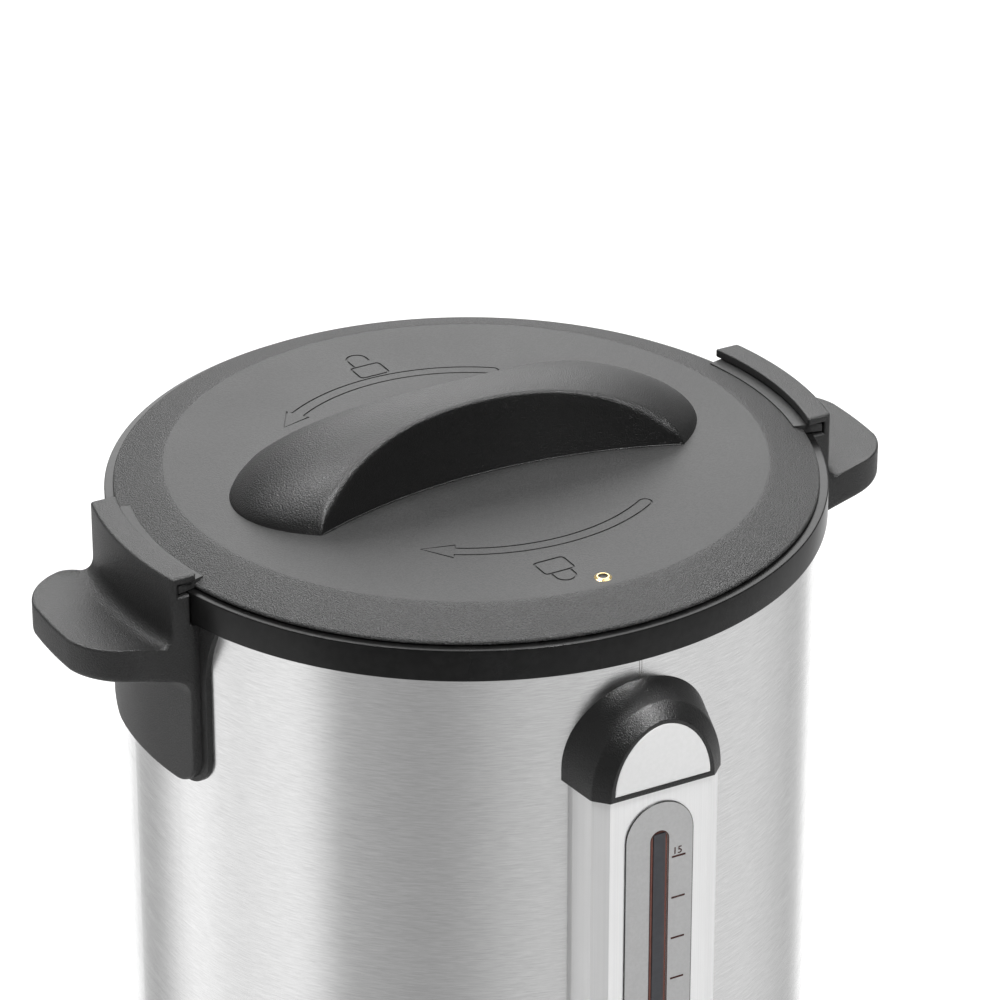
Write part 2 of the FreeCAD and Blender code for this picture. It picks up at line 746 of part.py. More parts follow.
def outer_shell():
    """The steel shell, with holes for the tap, the handles' screws and the column's screws."""
    inner = BODY_RADIUS - S.shell_wall
    tube = turned("shell", [
        (inner, LEDGE), (BODY_RADIUS, LEDGE), (BODY_RADIUS, SHELL_TOP), (inner, SHELL_TOP)])
    holes = [rod("shell_tap_hole", S.shank_radius + S.wall_fit, WALL_DRILL,
                 (0, -S.tank_radius - 1, TAP_LEVEL), "-y")]
    for i, (y, z) in enumerate(HANDLE_SCREWS):
        holes.append(rod("shell_handle_hole_%d" % i, HOLE, 2 * BODY_RADIUS + 2,
                         (-BODY_RADIUS - 1, y, z), "x"))
    for i, (x, z) in enumerate(column_screws()):
        holes.append(rod("shell_column_hole_%d" % i, HOLE, WALL_DRILL, (x, -S.tank_radius - 1, z), "-y"))
    return node("outer_shell", cut("shell_cut", tube, *holes))


def inner_tank():
    """The tank, with a rolled rim that hangs it in the shell and a hole for the tap."""
    wall = S.tank_radius + S.tank_wall
    rim = BODY_RADIUS - S.shell_wall - S.wall_fit
    under = TANK_FLOOR - S.tank_wall
    pan = turned("tank", [
        (0, under), (wall - S.tank_corner, under), (wall, under + S.tank_corner),
        (wall, SHELL_TOP - S.tank_wall), (rim, SHELL_TOP - S.tank_wall), (rim, SHELL_TOP),
        (S.tank_radius, SHELL_TOP),
        (S.tank_radius, TANK_FLOOR + S.tank_corner - S.tank_wall),
        (S.tank_radius - S.tank_corner + S.tank_wall, TANK_FLOOR), (0, TANK_FLOOR)])
    hole = rod("tank_tap_hole", S.shank_radius + S.wall_fit, WALL_DRILL,
               (0, WALL_DRILL / 2 - S.tank_radius, TAP_LEVEL), "-y")
    return node("inner_tank", cut("tank_cut", pan, hole))


def rim_ring():
    """The black ring over the rims of the shell and the tank."""
    under = RING_TOP - S.ring_cap
    inside = BODY_RADIUS + S.sleeve_fit
    return node("rim_ring", turned("ring", [
        (RING_RADIUS, S.ring_level), (RING_RADIUS, RING_TOP - S.ring_bevel),
        (RING_RADIUS - S.ring_bevel, RING_TOP), (RING_INNER, RING_TOP), (RING_INNER, under),
        (inside, under), (inside, S.ring_level)]))


def bend_points(across, up, radius, first, last):
    """Corner points along a quarter arc, from one angle to another in degrees."""
    points = []
    for i in range(BEND_STEPS + 1):
        angle = math.radians(first + (last - first) * i / BEND_STEPS)
        points.append((across + radius * math.cos(angle), up + radius * math.sin(angle)))
    return points


def tongue(half, top, bottom, corner):
    """The plan of a shield: straight sides and a lower edge with round corners."""
    return ([(-half, top)] + bend_points(corner - half, bottom + corner, corner, 180, 270)
            + bend_points(half - corner, bottom + corner, corner, 270, 360) + [(half, top)])


def side_handle():
    """The right handle: a wall round the rim with its hook on top, a shield below and a grip."""
    near = BODY_RADIUS + S.wall_fit / 2
    past_ring = RING_RADIUS + S.handle_fit
    face = near + S.shield_wall
    under = -S.grip_top - S.grip_thickness
    bend = HANDLE_WALL - face
    wall = turned("handle_wall", [
        (HOOK_INNER, up(S.hook_top - S.hook_thickness)),
        (HANDLE_WALL - S.hook_wall, up(S.hook_top - S.hook_thickness)),
        (HANDLE_WALL - S.hook_wall, up(S.ledge_level)), (past_ring, up(S.ledge_level)),
        (past_ring, up(-S.handle_fit)), (near, up(-S.handle_fit)), (near, up(-S.shield_depth)),
        (face, up(-S.shield_depth))] + bend_points(HANDLE_WALL, up(under - bend), bend, 180, 90)
        + [(HANDLE_WALL, up(S.hook_top)), (HOOK_INNER, up(S.hook_top))])
    half = S.handle_half_width
    front = pulled("handle_front", "YZ_Plane",
                   tongue(half, up(S.hook_top), up(-S.shield_depth), S.shield_corner),
                   BODY_RADIUS / 2, BODY_RADIUS)
    band = overlap("handle_band", wall, front)
    root = HANDLE_WALL - S.wall_fit
    edge = S.grip_edge
    tip = S.grip_rise - S.grip_top
    side = turned("grip_side", [
        (root, up(-S.grip_top)), (HANDLE_WALL + S.grip_fillet, up(-S.grip_top)),
        (GRIP_REACH - edge, up(tip)), (GRIP_REACH, up(tip - edge)),
        (GRIP_REACH, up(tip - S.grip_tip + edge)), (GRIP_REACH - edge, up(tip - S.grip_tip)),
        (HANDLE_WALL + S.grip_fillet, up(under + edge)), (root, up(under))])
    slab = block("grip_block", (BODY_RADIUS, -half, up(-S.shield_depth)), (GRIP_REACH, half, up(S.hook_top)))
    plan = rounded("grip_plan", slab, S.grip_corner, is_grip_corner)
    grip = overlap("grip_form", side, plan)
    soft = join("handle_form", band, grip, grip_root(half, up(-S.grip_top)), handle_backing(near))
    holes = [rod("handle_hole_%d" % i, S.screw_radius, S.screw_bite + 2, (BODY_RADIUS - 2, y, z), "x")
             for i, (y, z) in enumerate(HANDLE_SCREWS)]
    right = node("side_handle_right", cut("handle_right", soft, *holes))
    left = doc.addObject("Part::Mirroring", "handle_left")
    left.Source = right
    left.Base = Vector()
    left.Normal = Vector(1, 0, 0)
    node("side_handle_left", left)
    inner = BODY_RADIUS - S.shell_wall
    screws = []
    for i, (y, z) in enumerate(HANDLE_SCREWS):
        seat = flat_seat(inner, S.handle_screw_spread)
        screws.append(screw("handle_screw_r%d" % i, (seat, y, z), "x", S.screw_bite + 1))
        screws.append(screw("handle_screw_l%d" % i, (-seat, y, z), "-x", S.screw_bite + 1))
    node("handle_screws", bundle("handle_screw_set", screws))


def is_grip_corner(edge):
    """Whether an edge is one of the two upright corners at the grip's end."""
    box = edge.BoundBox
    return abs(box.XMin - float(GRIP_REACH)) < 0.01 and box.YLength < 0.01


def handle_backing(near):
    """The thin plate behind the handle: a little wider than it, and flared out under the ring."""
    wide = S.handle_half_width + S.backing_margin
    drop = S.backing_flare_height
    swell = [(wide + S.backing_flare * share, up(-drop * depth)) for share, depth in BACKING_SWELL]
    blade = tongue(wide, up(-drop), up(-S.shield_depth), S.shield_corner)
    sheet_ring = turned("backing_ring", [
        (near, up(-S.shield_depth)), (near + S.backing_wall, up(-S.shield_depth)),
        (near + S.backing_wall, up(-S.handle_fit)), (near, up(-S.handle_fit))])
    other = [(-across, level) for across, level in swell]
    plan = pulled("backing_plan", "YZ_Plane", blade + swell[::-1] + other, BODY_RADIUS / 2, BODY_RADIUS)
    return overlap("backing", sheet_ring, plan)


def grip_root(half, level):
    """The hollow curve where the grip's top runs up into the handle's wall."""
    wall = HANDLE_WALL
    bend = S.grip_fillet
    strip = turned("root_strip", [
        (wall - 1, level - 1), (wall + bend, level - 1), (wall + bend, level + bend),
        (wall - 1, level + bend)])
    ring = doc.addObject("Part::Torus", "root_ring")
    ring.Radius1 = float(wall + bend)
    ring.Radius2 = float(bend)
    bind(ring, "Radius1", wall + bend)
    bind(ring, "Radius2", bend)
    put(ring, (0, 0, level + bend))
    span = block("root_span", (BODY_RADIUS / 2, -half, level - 1), (GRIP_REACH, half, level + bend))
    return overlap("root_form", cut("root_cut", strip, ring), span)


def flat_seat(radius, spread):
    """How far out a flat screw head may lie inside a round wall, at a distance from its middle."""
    reach = float(spread) + float(S.screw_head_radius)
    number = math.sqrt(float(radius) ** 2 - reach ** 2)
    text = "sqrt(pow(%s; 2) - pow(%s; 2))" % (words(radius), words(spread + S.screw_head_radius))
    return Dim(number, text)


def lid_shell():
    """The lid: a flat top, a cone band, two tabs, a rib inside and pillars for the liner."""
    edge = RING_TOP + S.lid_edge_gap
    under = PLATEAU - S.lid_wall
    skin = turned("lid_skin", [
        (0, under), (PLATEAU_RADIUS, under), (LID_RADIUS - S.lid_edge_band, edge), (LID_RADIUS, edge),
        (LID_RADIUS, up(S.lid_edge_level)),
        (PLATEAU_RADIUS + S.plateau_ease, PLATEAU - S.plateau_ease_drop),
        (PLATEAU_RADIUS, PLATEAU), (0, PLATEAU)])
    rib = turned("lid_rib", [
        (RIB_RADIUS - S.lid_rib_wall, up(S.lid_rib_level)), (RIB_RADIUS, up(S.lid_rib_level)),
        (RIB_RADIUS, under - 1), (RIB_RADIUS - S.lid_rib_wall, under - 1)])
    tabs = overlap("lid_tabs", turned("lid_tab_ring", [
        (TAB_INNER, RING_TOP + S.tab_lift), (TAB_RADIUS, RING_TOP + S.tab_lift),
        (TAB_RADIUS, RING_TOP + S.tab_lift + S.tab_thickness),
        (TAB_INNER, RING_TOP + S.tab_lift + S.tab_thickness)]), lid_sectors())
    pillars = []
    pilots = []
    for i, (x, y) in enumerate(around(LINER_CIRCLE, 4, 45)):
        low = up(S.liner_level + S.liner_wall)
        pillars.append(rod("liner_pillar_%d" % i, S.liner_boss_radius, under + 1 - low, (x, y, low)))
        pilots.append(rod("liner_pilot_%d" % i, S.screw_radius, S.screw_bite, (x, y, low)))
    holes = [rod("lid_vent_hole", S.vent_radius, S.lid_wall + 2, (-S.vent_offset, -VENT_CIRCLE, under - 1))]
    for i, (x, y) in enumerate(arch_screws()):
        holes.append(rod("lid_arch_hole_%d" % i, HOLE, S.lid_wall + 2, (x, y, under - 1)))
    solid = join("lid_solid", skin, rib, tabs, *pillars)
    return node("lid_shell", cut("lid_cut", solid, *pilots, *holes))


def lid_sectors():
    """Two wedges about X, one for each tab."""
    wedges = []
    for name, start in (("right", -S.tab_half_angle), ("left", 180 - S.tab_half_angle)):
        wedge = rod("tab_wedge_" + name, TAB_RADIUS + 1, PLATEAU)
        wedge.Angle = 2 * float(S.tab_half_angle)
        bind(wedge, "Angle", 2 * S.tab_half_angle)
        wedges.append(spun(wedge, start))
    return bundle("tab_wedges", wedges)


def arch_screws():
    """Places of the lid handle's four screws."""
    return [(i * ARCH_SCREW_REACH, j * S.arch_screw_spread) for i in (-1, 1) for j in (-1, 1)]


def lid_handle():
    """The lid's handle: a long dome with both flanks scooped out of it, hollow between its feet."""
    soft = rounded("arch_soft", made("arch_hump", arch_form(0)), S.arch_crease, is_crease)
    hollow = overlap("arch_hollow", made("arch_inside", arch_form(float(S.arch_wall))),
                     block("arch_between_feet", (-ARCH_HOLLOW, -S.arch_foot, PLATEAU - 1),
                           (ARCH_HOLLOW, S.arch_foot, PLATEAU + S.arch_rise)))
    pilots = [rod("arch_pilot_%d" % i, S.screw_radius, S.screw_bite, (x, y, PLATEAU - 0.5))
              for i, (x, y) in enumerate(arch_screws())]
    node("lid_handle", cut("arch", soft, hollow, *pilots))
    node("lid_handle_screws", bundle("arch_screw_set", [
        screw("arch_screw_%d" % i, (x, y, PLATEAU - S.lid_wall), "z", S.screw_bite + S.lid_wall - 1)
        for i, (x, y) in enumerate(arch_screws())]))


def arch_form(wall):
    """The handle's shape, drawn in all round by a wall: a squeezed dome less a cone on each side."""
    length = float(S.arch_half_length) - wall
    rise = float(S.arch_rise) - wall
    steps = [i / 12.0 for i in range(12)] + [0.96, 0.985, 0.997, 1.0]
    crown = Part.BSplineCurve()
    crown.interpolate([Vector(share * length, 0, rise * crown_share(share)) for share in steps])
    edges = [crown.toShape(), Part.LineSegment(Vector(length, 0, 0), Vector()).toShape(),
             Part.LineSegment(Vector(), Vector(0, 0, rise)).toShape()]
    dome = Part.Face(Part.Wire(edges)).revolve(Vector(), Vector(0, 0, 1), 360)
    squeeze = FreeCAD.Matrix()
    squeeze.scale(1, (float(S.arch_foot) - wall) / length, 1)
    dome = dome.transformGeometry(squeeze)
    high = float(S.arch_rise) + 2
    foot = float(S.arch_scoop) + wall
    away = float(S.arch_waist + S.arch_scoop)
    scoops = [Part.makeCone(foot, foot + high * float(S.arch_lean), high, Vector(0, side * away, 0))
              for side in (-1, 1)]
    form = dome.cut(scoops)
    form.translate(Vector(0, 0, float(PLATEAU)))
    return form


def crown_share(share):
    """Height of the handle's dome, as a share of its rise, at a share of the way out to its outline."""
    return max(0.0, 1 - abs(share) ** CROWN_BEND) ** CROWN_FALL


def is_crease(edge):
    """Whether an edge is one of the two long creases between the crown and a flank."""
    box = edge.BoundBox
    return box.XLength > 1.3 * float(S.arch_half_length) and box.ZLength > 1


def lid_inside():
    """The liner under the lid with its screws, the gasket round it and the brass vent."""
    inner = LINER_RADIUS - S.liner_wall
    floor = S.liner_level + S.liner_wall
    pan = turned("liner", [
        (0, up(S.liner_level)), (LINER_RADIUS, up(S.liner_level)),
        (LINER_RADIUS, up(S.liner_level + S.liner_rim)), (inner, up(S.liner_level + S.liner_rim)),
        (inner, up(floor)), (0, up(floor))])
    places = around(LINER_CIRCLE, 4, 45)
    below = up(S.liner_level - 1)
    deep = S.liner_wall + 2
    holes = [rod("liner_hole_%d" % i, HOLE, deep, (x, y, below)) for i, (x, y) in enumerate(places)]
    holes.append(rod("liner_vent_hole", S.vent_radius, deep, (-S.vent_offset, -VENT_CIRCLE, below)))
    node("lid_liner", cut("liner_cut", pan, *holes))
    node("liner_screws", bundle("liner_screw_set", [
        screw("liner_screw_%d" % i, (x, y, up(S.liner_level)), "z", S.screw_bite)
        for i, (x, y) in enumerate(places)]))
    lip = RING_TOP + S.wall_fit
    collar = S.tank_radius - S.gasket_fit
    node("lid_gasket", turned("gasket", [
        (LINER_RADIUS, lip - S.gasket_drop), (collar, lip - S.gasket_drop), (collar, lip),
        (collar + S.gasket_lip, lip), (collar + S.gasket_lip, lip + S.gasket_lip_wall),
        (LINER_RADIUS, lip + S.gasket_lip_wall)]))
    under = PLATEAU - S.lid_wall
    node("vent_eyelet", turned("vent", [
        (S.vent_bore, under - S.vent_flange), (S.vent_flange_radius, under - S.vent_flange),
        (S.vent_flange_radius, under), (S.vent_radius, under), (S.vent_radius, PLATEAU),
        (S.vent_flange_radius, PLATEAU), (S.vent_bore + 0.5, PLATEAU + S.vent_flange),
        (S.vent_bore, PLATEAU + S.vent_flange)], (-S.vent_offset, -VENT_CIRCLE, 0)))


def column_screws():
    """Places of the screws that hold the hood and the column's foot, as (x, z)."""
    high = COLUMN_TOP + S.screw_head_radius + 2
    low = (S.base_top + COLUMN_FOOT_TOP) / 2
    upper = [(sign * COLUMN_FRONT * COLUMN_SCREW_HIGH, high) for sign in (-1, 1)]
    return upper + [(sign * COLUMN_FRONT * COLUMN_SCREW_LOW, low) for sign in (-1, 1)]


def column_prism(name, margin, low, high):
    """The gauge column's outer section as a prism that runs back into the body."""
    back = COLUMN_BACK + margin
    side = S.column_side + margin
    front = COLUMN_FRONT + margin * COLUMN_BEVEL_SHARE
    return pulled(name, "XY_Plane", [
        (-back, -S.tank_radius), (-back, margin - BODY_RADIUS), (-side, -margin - COLUMN_SHOULDER),
        (-front, -margin - COLUMN_FACE), (front, -margin - COLUMN_FACE),
        (side, -margin - COLUMN_SHOULDER), (back, margin - BODY_RADIUS), (back, -S.tank_radius)],
        low, high - low)


def body_core(name):
    """The space inside the outer shell's face."""
    return rod(name, BODY_RADIUS + S.wall_fit / 2, S.ring_level)


def slot_tool(name, half, top, bottom, depth_from, depth_to):
    """An upright slot with round ends, through a wall at the front."""
    length = depth_to - depth_from
    return join(name,
                block(name + "_box", (-half, -depth_to, bottom + half), (half, -depth_from, top - half)),
                rod(name + "_top", half, length, (0, -depth_from, top - half), "-y"),
                rod(name + "_bottom", half, length, (0, -depth_from, bottom + half), "-y"))


def gauge():
    """The steel column with its slot, the scale plate, the glass tube and the tube's cap."""
    low = S.base_top + S.column_foot_floor
    outer = column_prism("column_outer", Dim(0, "0"), low, COLUMN_TOP)
    inner = column_prism("column_inner", -S.column_wall, low - 1, COLUMN_TOP + 1)
    slot_top = S.ring_level - S.slot_top
    face = COLUMN_FACE
    slot = slot_tool("column_slot", S.slot_half_width, slot_top, SLOT_BOTTOM, face - 2, face + 2)
    shank_hole = rod("column_shank_hole", S.shank_radius + S.wall_fit, WALL_DRILL,
                     (0, -BODY_RADIUS - S.shank_collar, TAP_LEVEL), "-y")
    column = node("sight_column", cut("column_cut", outer, inner, slot, shank_hole, body_core("column_core")))
    plate = slot_tool("scale_blank", S.scale_half_width, S.ring_level - S.scale_top, SCALE_BOTTOM,
                      face, face + S.scale_wall)
    opening = slot_tool("scale_slot", S.slot_half_width, slot_top, SLOT_BOTTOM, face - 1, face + 2)
    node("scale_plate", cut("scale_cut", plate, opening))
    top = S.ring_level - S.tube_top
    foot = TAP_LEVEL + S.shank_radius
    tube = turned("tube", [
        (S.tube_radius - S.tube_wall, foot), (S.tube_radius, foot), (S.tube_radius, top),
        (S.tube_radius - S.tube_wall, top)], (0, -TUBE_Y, 0))
    node("gauge_tube", tube)
    node("tube_seal", turned("tube_seal_ring", [
        (S.tube_radius, foot), (SLEEVE_RADIUS, foot), (SLEEVE_RADIUS, NIPPLE_TOP),
        (NIPPLE_RADIUS, NIPPLE_TOP), (NIPPLE_RADIUS, NIPPLE_TOP + 2),
        (S.tube_radius, NIPPLE_TOP + 2)], (0, -TUBE_Y, 0)))
    node("tube_cap", turned("tube_cap_form", [
        (S.tube_radius, top - S.cap_height), (CAP_RADIUS, top - S.cap_height), (CAP_RADIUS, top + 2),
        (1.2, top + 2), (1.2, top), (S.tube_radius, top)], (0, -TUBE_Y, 0)))
    return column


def hood_arch(radius, y):
    """The outline of the hood at one depth: a half circle over a straight skirt."""
    low = float(S.ring_level - S.hood_floor)
    centre = float(S.ring_level - S.hood_centre)
    size = float(radius)
    corners = [Vector(-size, y, low), Vector(size, y, low), Vector(size, y, centre), Vector(-size, y, centre)]
    edges = [Part.LineSegment(corners[0], corners[1]), Part.LineSegment(corners[1], corners[2]),
             Part.Arc(corners[2], Vector(0, y, centre + size), corners[3]),
             Part.LineSegment(corners[3], corners[0])]
    return Part.Wire([edge.toShape() for edge in edges])


def sight_hood(column):
    """The black hood over the column's top, and the bare plate let into its face."""
    back = float(S.tank_radius)
    reach = float(HOOD_MID) - float(BODY_RADIUS)
    slope = (float(HOOD_BACK_RADIUS) - float(HOOD_MID_RADIUS)) / reach
    wide = float(HOOD_BACK_RADIUS) + slope * (float(BODY_RADIUS) - back)
    middle = hood_arch(HOOD_MID_RADIUS, -float(HOOD_MID))
    rear = Part.makeLoft([hood_arch(wide, -back), middle], True, True)
    front = Part.makeLoft([middle, hood_arch(HOOD_FRONT_RADIUS, -float(HOOD_FACE))], True, True)
    form = made("hood_form", rear.fuse(front))
    level = S.ring_level - S.hood_centre
    low = S.ring_level - S.hood_floor + S.hood_plate_margin
    deep = S.hood_plate_wall - S.hood_plate_proud
    radius = HOOD_PLATE_RADIUS
    disc = rod("hood_plate_disc", radius, S.hood_plate_wall, (0, deep - HOOD_FACE, level), "-y")
    upper = block("hood_plate_upper", (-radius - 1, -HOOD_FACE - S.hood_plate_wall, level),
                  (radius + 1, S.hood_plate_wall - HOOD_FACE, level + radius + 1))
    skirt = block("hood_plate_skirt", (-radius, -HOOD_FACE - S.hood_plate_proud, low),
                  (radius, deep - HOOD_FACE, level))
    plate = join("hood_plate_form", overlap("hood_plate_arch", disc, upper), skirt)
    node("hood_plate", plate)
    socket = rod("hood_socket", CAP_RADIUS, S.hood_floor - S.tube_top + 2 + 1,
                 (0, -TUBE_Y, S.ring_level - S.hood_floor - 1))
    screws = column_screws()
    holes = [rod("hood_pilot_%d" % i, S.screw_radius, S.screw_bite + 1, (x, 2 - BODY_RADIUS, z), "-y")
             for i, (x, z) in enumerate(screws[:2])]
    node("sight_hood", cut("hood_cut", form, body_core("hood_core"), plate, socket, column, *holes))
    foot_low = S.base_top
    margin = S.column_foot_margin
    foot = column_prism("foot_form", margin, foot_low, COLUMN_FOOT_TOP)
    well = rod("foot_tube_well", CAP_RADIUS, COLUMN_FOOT_TOP - foot_low,
               (0, -TUBE_Y, foot_low + S.column_foot_floor))
    foot_holes = [rod("foot_pilot_%d" % i, S.screw_radius, S.screw_bite + 1, (x, 2 - BODY_RADIUS, z), "-y")
                  for i, (x, z) in enumerate(screws[2:])]
    node("column_foot", cut("foot_cut", foot, body_core("foot_core"), column, well, *foot_holes))
    inner = BODY_RADIUS - S.shell_wall
    spreads = [COLUMN_FRONT * share for share in (COLUMN_SCREW_HIGH, COLUMN_SCREW_LOW)]
    node("column_screws", bundle("column_screw_set", [
        screw("column_screw_%d" % i, (x, -flat_seat(inner, spreads[i // 2]), z), "-y", S.screw_bite)
        for i, (x, z) in enumerate(screws)]))


def tap():
    """The lever tap: shank through both walls, body with its seat, bonnet, stem, spring and lever."""
    level = TAP_LEVEL
    reach = TAP_REACH
    socket_back = COLUMN_FACE + S.flange_wall + S.wall_fit
    shank_end = socket_back + S.socket_length
    tank_face = S.tank_radius + S.tank_wall
    collar_back = BODY_RADIUS + S.washer_wall
    shank = join("shank_form",
                 rod("shank_tube", S.shank_radius, shank_end - SHANK_INSIDE, (0, -SHANK_INSIDE, level), "-y"),
                 rod("shank_collar", COLLAR_RADIUS, S.shank_collar, (0, -collar_back, level), "-y"),
                 rod("shank_nipple", NIPPLE_RADIUS, NIPPLE_TOP - level, (0, -TUBE_Y, level)))
    node("tap_shank", cut("shank_cut", shank,
                          rod("shank_bore", SHANK_BORE, shank_end - SHANK_INSIDE + 2,
                              (0, 1 - SHANK_INSIDE, level), "-y"),
                          rod("nipple_bore", SLEEVE_RADIUS, NIPPLE_TOP - level - S.shank_radius + 1,
                              (0, -TUBE_Y, level + S.shank_radius)),
                          rod("nipple_port", S.tube_radius - S.tube_wall, S.shank_radius + 1,
                              (0, -TUBE_Y, level))))
    seal_front = S.tank_radius - 3
    ring_bore = S.shank_radius + S.wall_fit / 2
    nut = hexagon("nut_hexagon", S.nut_across, S.nut_height, (0, -seal_front + S.nut_height, level), "-y")
    node("shank_nut", cut("nut_cut", nut, rod("nut_bore", ring_bore, S.nut_height + 2,
                                              (0, 1 - seal_front + S.nut_height, level), "-y")))

    def washer(name, radius, near, far):
        return cut(name + "_ring", rod(name + "_disc", radius, far - near, (0, -near, level), "-y"),
                   rod(name + "_bore", ring_bore, far - near + 2, (0, 1 - near, level), "-y"))

    inside = overlap("seal_inside", washer("seal_a", S.seal_radius, seal_front, S.tank_radius + 1),
                     rod("tank_face", S.tank_radius, S.ring_level))
    gap = overlap("seal_gap", washer("seal_b", S.seal_radius, S.tank_radius - 2, BODY_RADIUS),
                  rod("shell_face", BODY_RADIUS - S.shell_wall, S.ring_level))
    between = cut("seal_between", gap, rod("tank_back", tank_face, S.ring_level))
    outside = cut("seal_outside", washer("seal_c", COLLAR_RADIUS, BODY_RADIUS - 2, collar_back),
                  rod("shell_back", BODY_RADIUS, S.ring_level))
    node("shank_seals", bundle("seal_set", [inside, between, outside]))
    node("tap_flange", washer("flange", FLANGE_RADIUS, COLUMN_FACE, COLUMN_FACE + S.flange_wall))
    chamber_height = CHAMBER_TOP - CHAMBER_BOTTOM
    body = join("tap_form",
                rod("tap_chamber", CHAMBER_RADIUS, chamber_height, (0, -reach, CHAMBER_BOTTOM)),
                rod("tap_socket", SOCKET_RADIUS, reach - socket_back, (0, -socket_back, level), "-y"),
                rod("tap_spout", SPOUT_RADIUS, CHAMBER_BOTTOM - SPOUT_END + 1, (0, -reach, SPOUT_END)))
    node("tap_body", cut("tap_cut", body,
                         rod("tap_thread", ring_bore, S.socket_length + 1, (0, 1 - socket_back, level), "-y"),
                         rod("tap_inlet", SHANK_BORE, reach - socket_back, (0, -socket_back, level), "-y"),
                         rod("tap_hollow", S.chamber_bore, CHAMBER_TOP - VALVE_SEAT + 1,
                             (0, -reach, VALVE_SEAT)),
                         rod("tap_seat", S.valve_seat_bore, VALVE_SEAT - CHAMBER_BOTTOM + 2,
                             (0, -reach, CHAMBER_BOTTOM - 1)),
                         rod("tap_outlet", S.spout_bore, CHAMBER_BOTTOM - SPOUT_END + 1,
                             (0, -reach, SPOUT_END - 1))))
    top = CHAMBER_TOP
    bonnet_top = top + S.bonnet_height
    node("tap_bonnet", turned("bonnet", [
        (S.stem_radius + S.stem_fit, top), (BONNET_RADIUS, top),
        (BONNET_RADIUS, bonnet_top - S.bonnet_bevel), (BONNET_RADIUS - S.bonnet_bevel, bonnet_top),
        (S.stem_radius + S.stem_fit, bonnet_top)], (0, -reach, 0)))
    plug_top = VALVE_SEAT + S.wall_fit + S.plug_height
    node("tap_seat_washer", rod("plug", PLUG_RADIUS, S.plug_height, (0, -reach, VALVE_SEAT + S.wall_fit)))
    pin_level = bonnet_top + PIN_HEIGHT
    stem_top = pin_level + S.pin_radius + S.stem_crown
    stem = rod("stem_rod", S.stem_radius, stem_top - plug_top, (0, -reach, plug_top))
    collar = rod("stem_collar", PLUG_RADIUS - S.stem_collar_step, S.stem_collar_height, (0, -reach, plug_top))
    eye = rod("stem_eye", S.pin_radius, 2 * S.stem_radius + 2, (-S.stem_radius - 1, -reach, pin_level), "x")
    node("tap_stem", cut("stem_cut", join("stem_form", stem, collar), eye))
    node("tap_pin", rod("pin", S.pin_radius, 2 * S.lever_half_width,
                        (-S.lever_half_width, -reach, pin_level), "x"))
    spring_low = plug_top + S.stem_collar_height + S.wall_fit
    node("tap_spring", made("spring", spring_coil(float(spring_low), float(top - S.wall_fit), float(reach))))
    lever(pin_level, reach)


def spring_coil(low, high, reach):
    """A plain coil spring round the stem, standing on the stem's collar."""
    wire = float(S.spring_wire)
    radius = float(S.stem_radius + S.spring_gap)
    turns = float(S.spring_turns)
    pitch = (high - low - 2 * wire) / turns
    helix = Part.makeHelix(pitch, turns * pitch, radius)
    helix.translate(Vector(0, 0, low + wire))
    ring = Part.Wire(Part.Circle(Vector(radius, 0, low + wire), Vector(0, 1, 0), wire).toShape())
    coil = Part.Wire(helix.Edges).makePipeShell([ring], True, True)
    coil.translate(Vector(0, -reach, 0))
    return coil


def lever(pin_level, reach):
    """The black lever: a cam that rests on the bonnet, forked round the stem, and a paddle above."""
    wide = S.lever_half_width
    drop = S.cam_offset
    cam = rod("lever_cam", S.cam_radius, 2 * wide, (-wide, -reach - drop, pin_level), "x")
    heel = rod("lever_heel", S.cam_radius, 2 * wide, (-wide, -reach, pin_level), "x")
    neck = block("lever_neck", (-wide, -reach - drop, pin_level), (wide, -reach, pin_level + S.cam_radius))
    half = S.lever_thickness / 2
    paddle = block("lever_paddle", (-wide, -reach - half, pin_level),
                   (wide, -reach + half, pin_level + S.lever_length))
    knob = rod("lever_knob", S.lever_knob, 2 * wide, (-wide, -reach, pin_level + S.lever_length), "x")
    form = join("lever_form", cam, heel, neck, paddle, knob)
    around_cam = 2 * (S.cam_radius + drop)
    slot = block("lever_fork", (-LEVER_SLOT, -reach - around_cam, pin_level - around_cam),
                 (LEVER_SLOT, -reach + around_cam, pin_level + S.cam_radius - 1))
    hole = rod("lever_hole", S.pin_radius + S.pin_fit, 2 * wide + 2, (-wide - 1, -reach, pin_level), "x")
    node("tap_lever", cut("lever_cut", form, slot, hole))


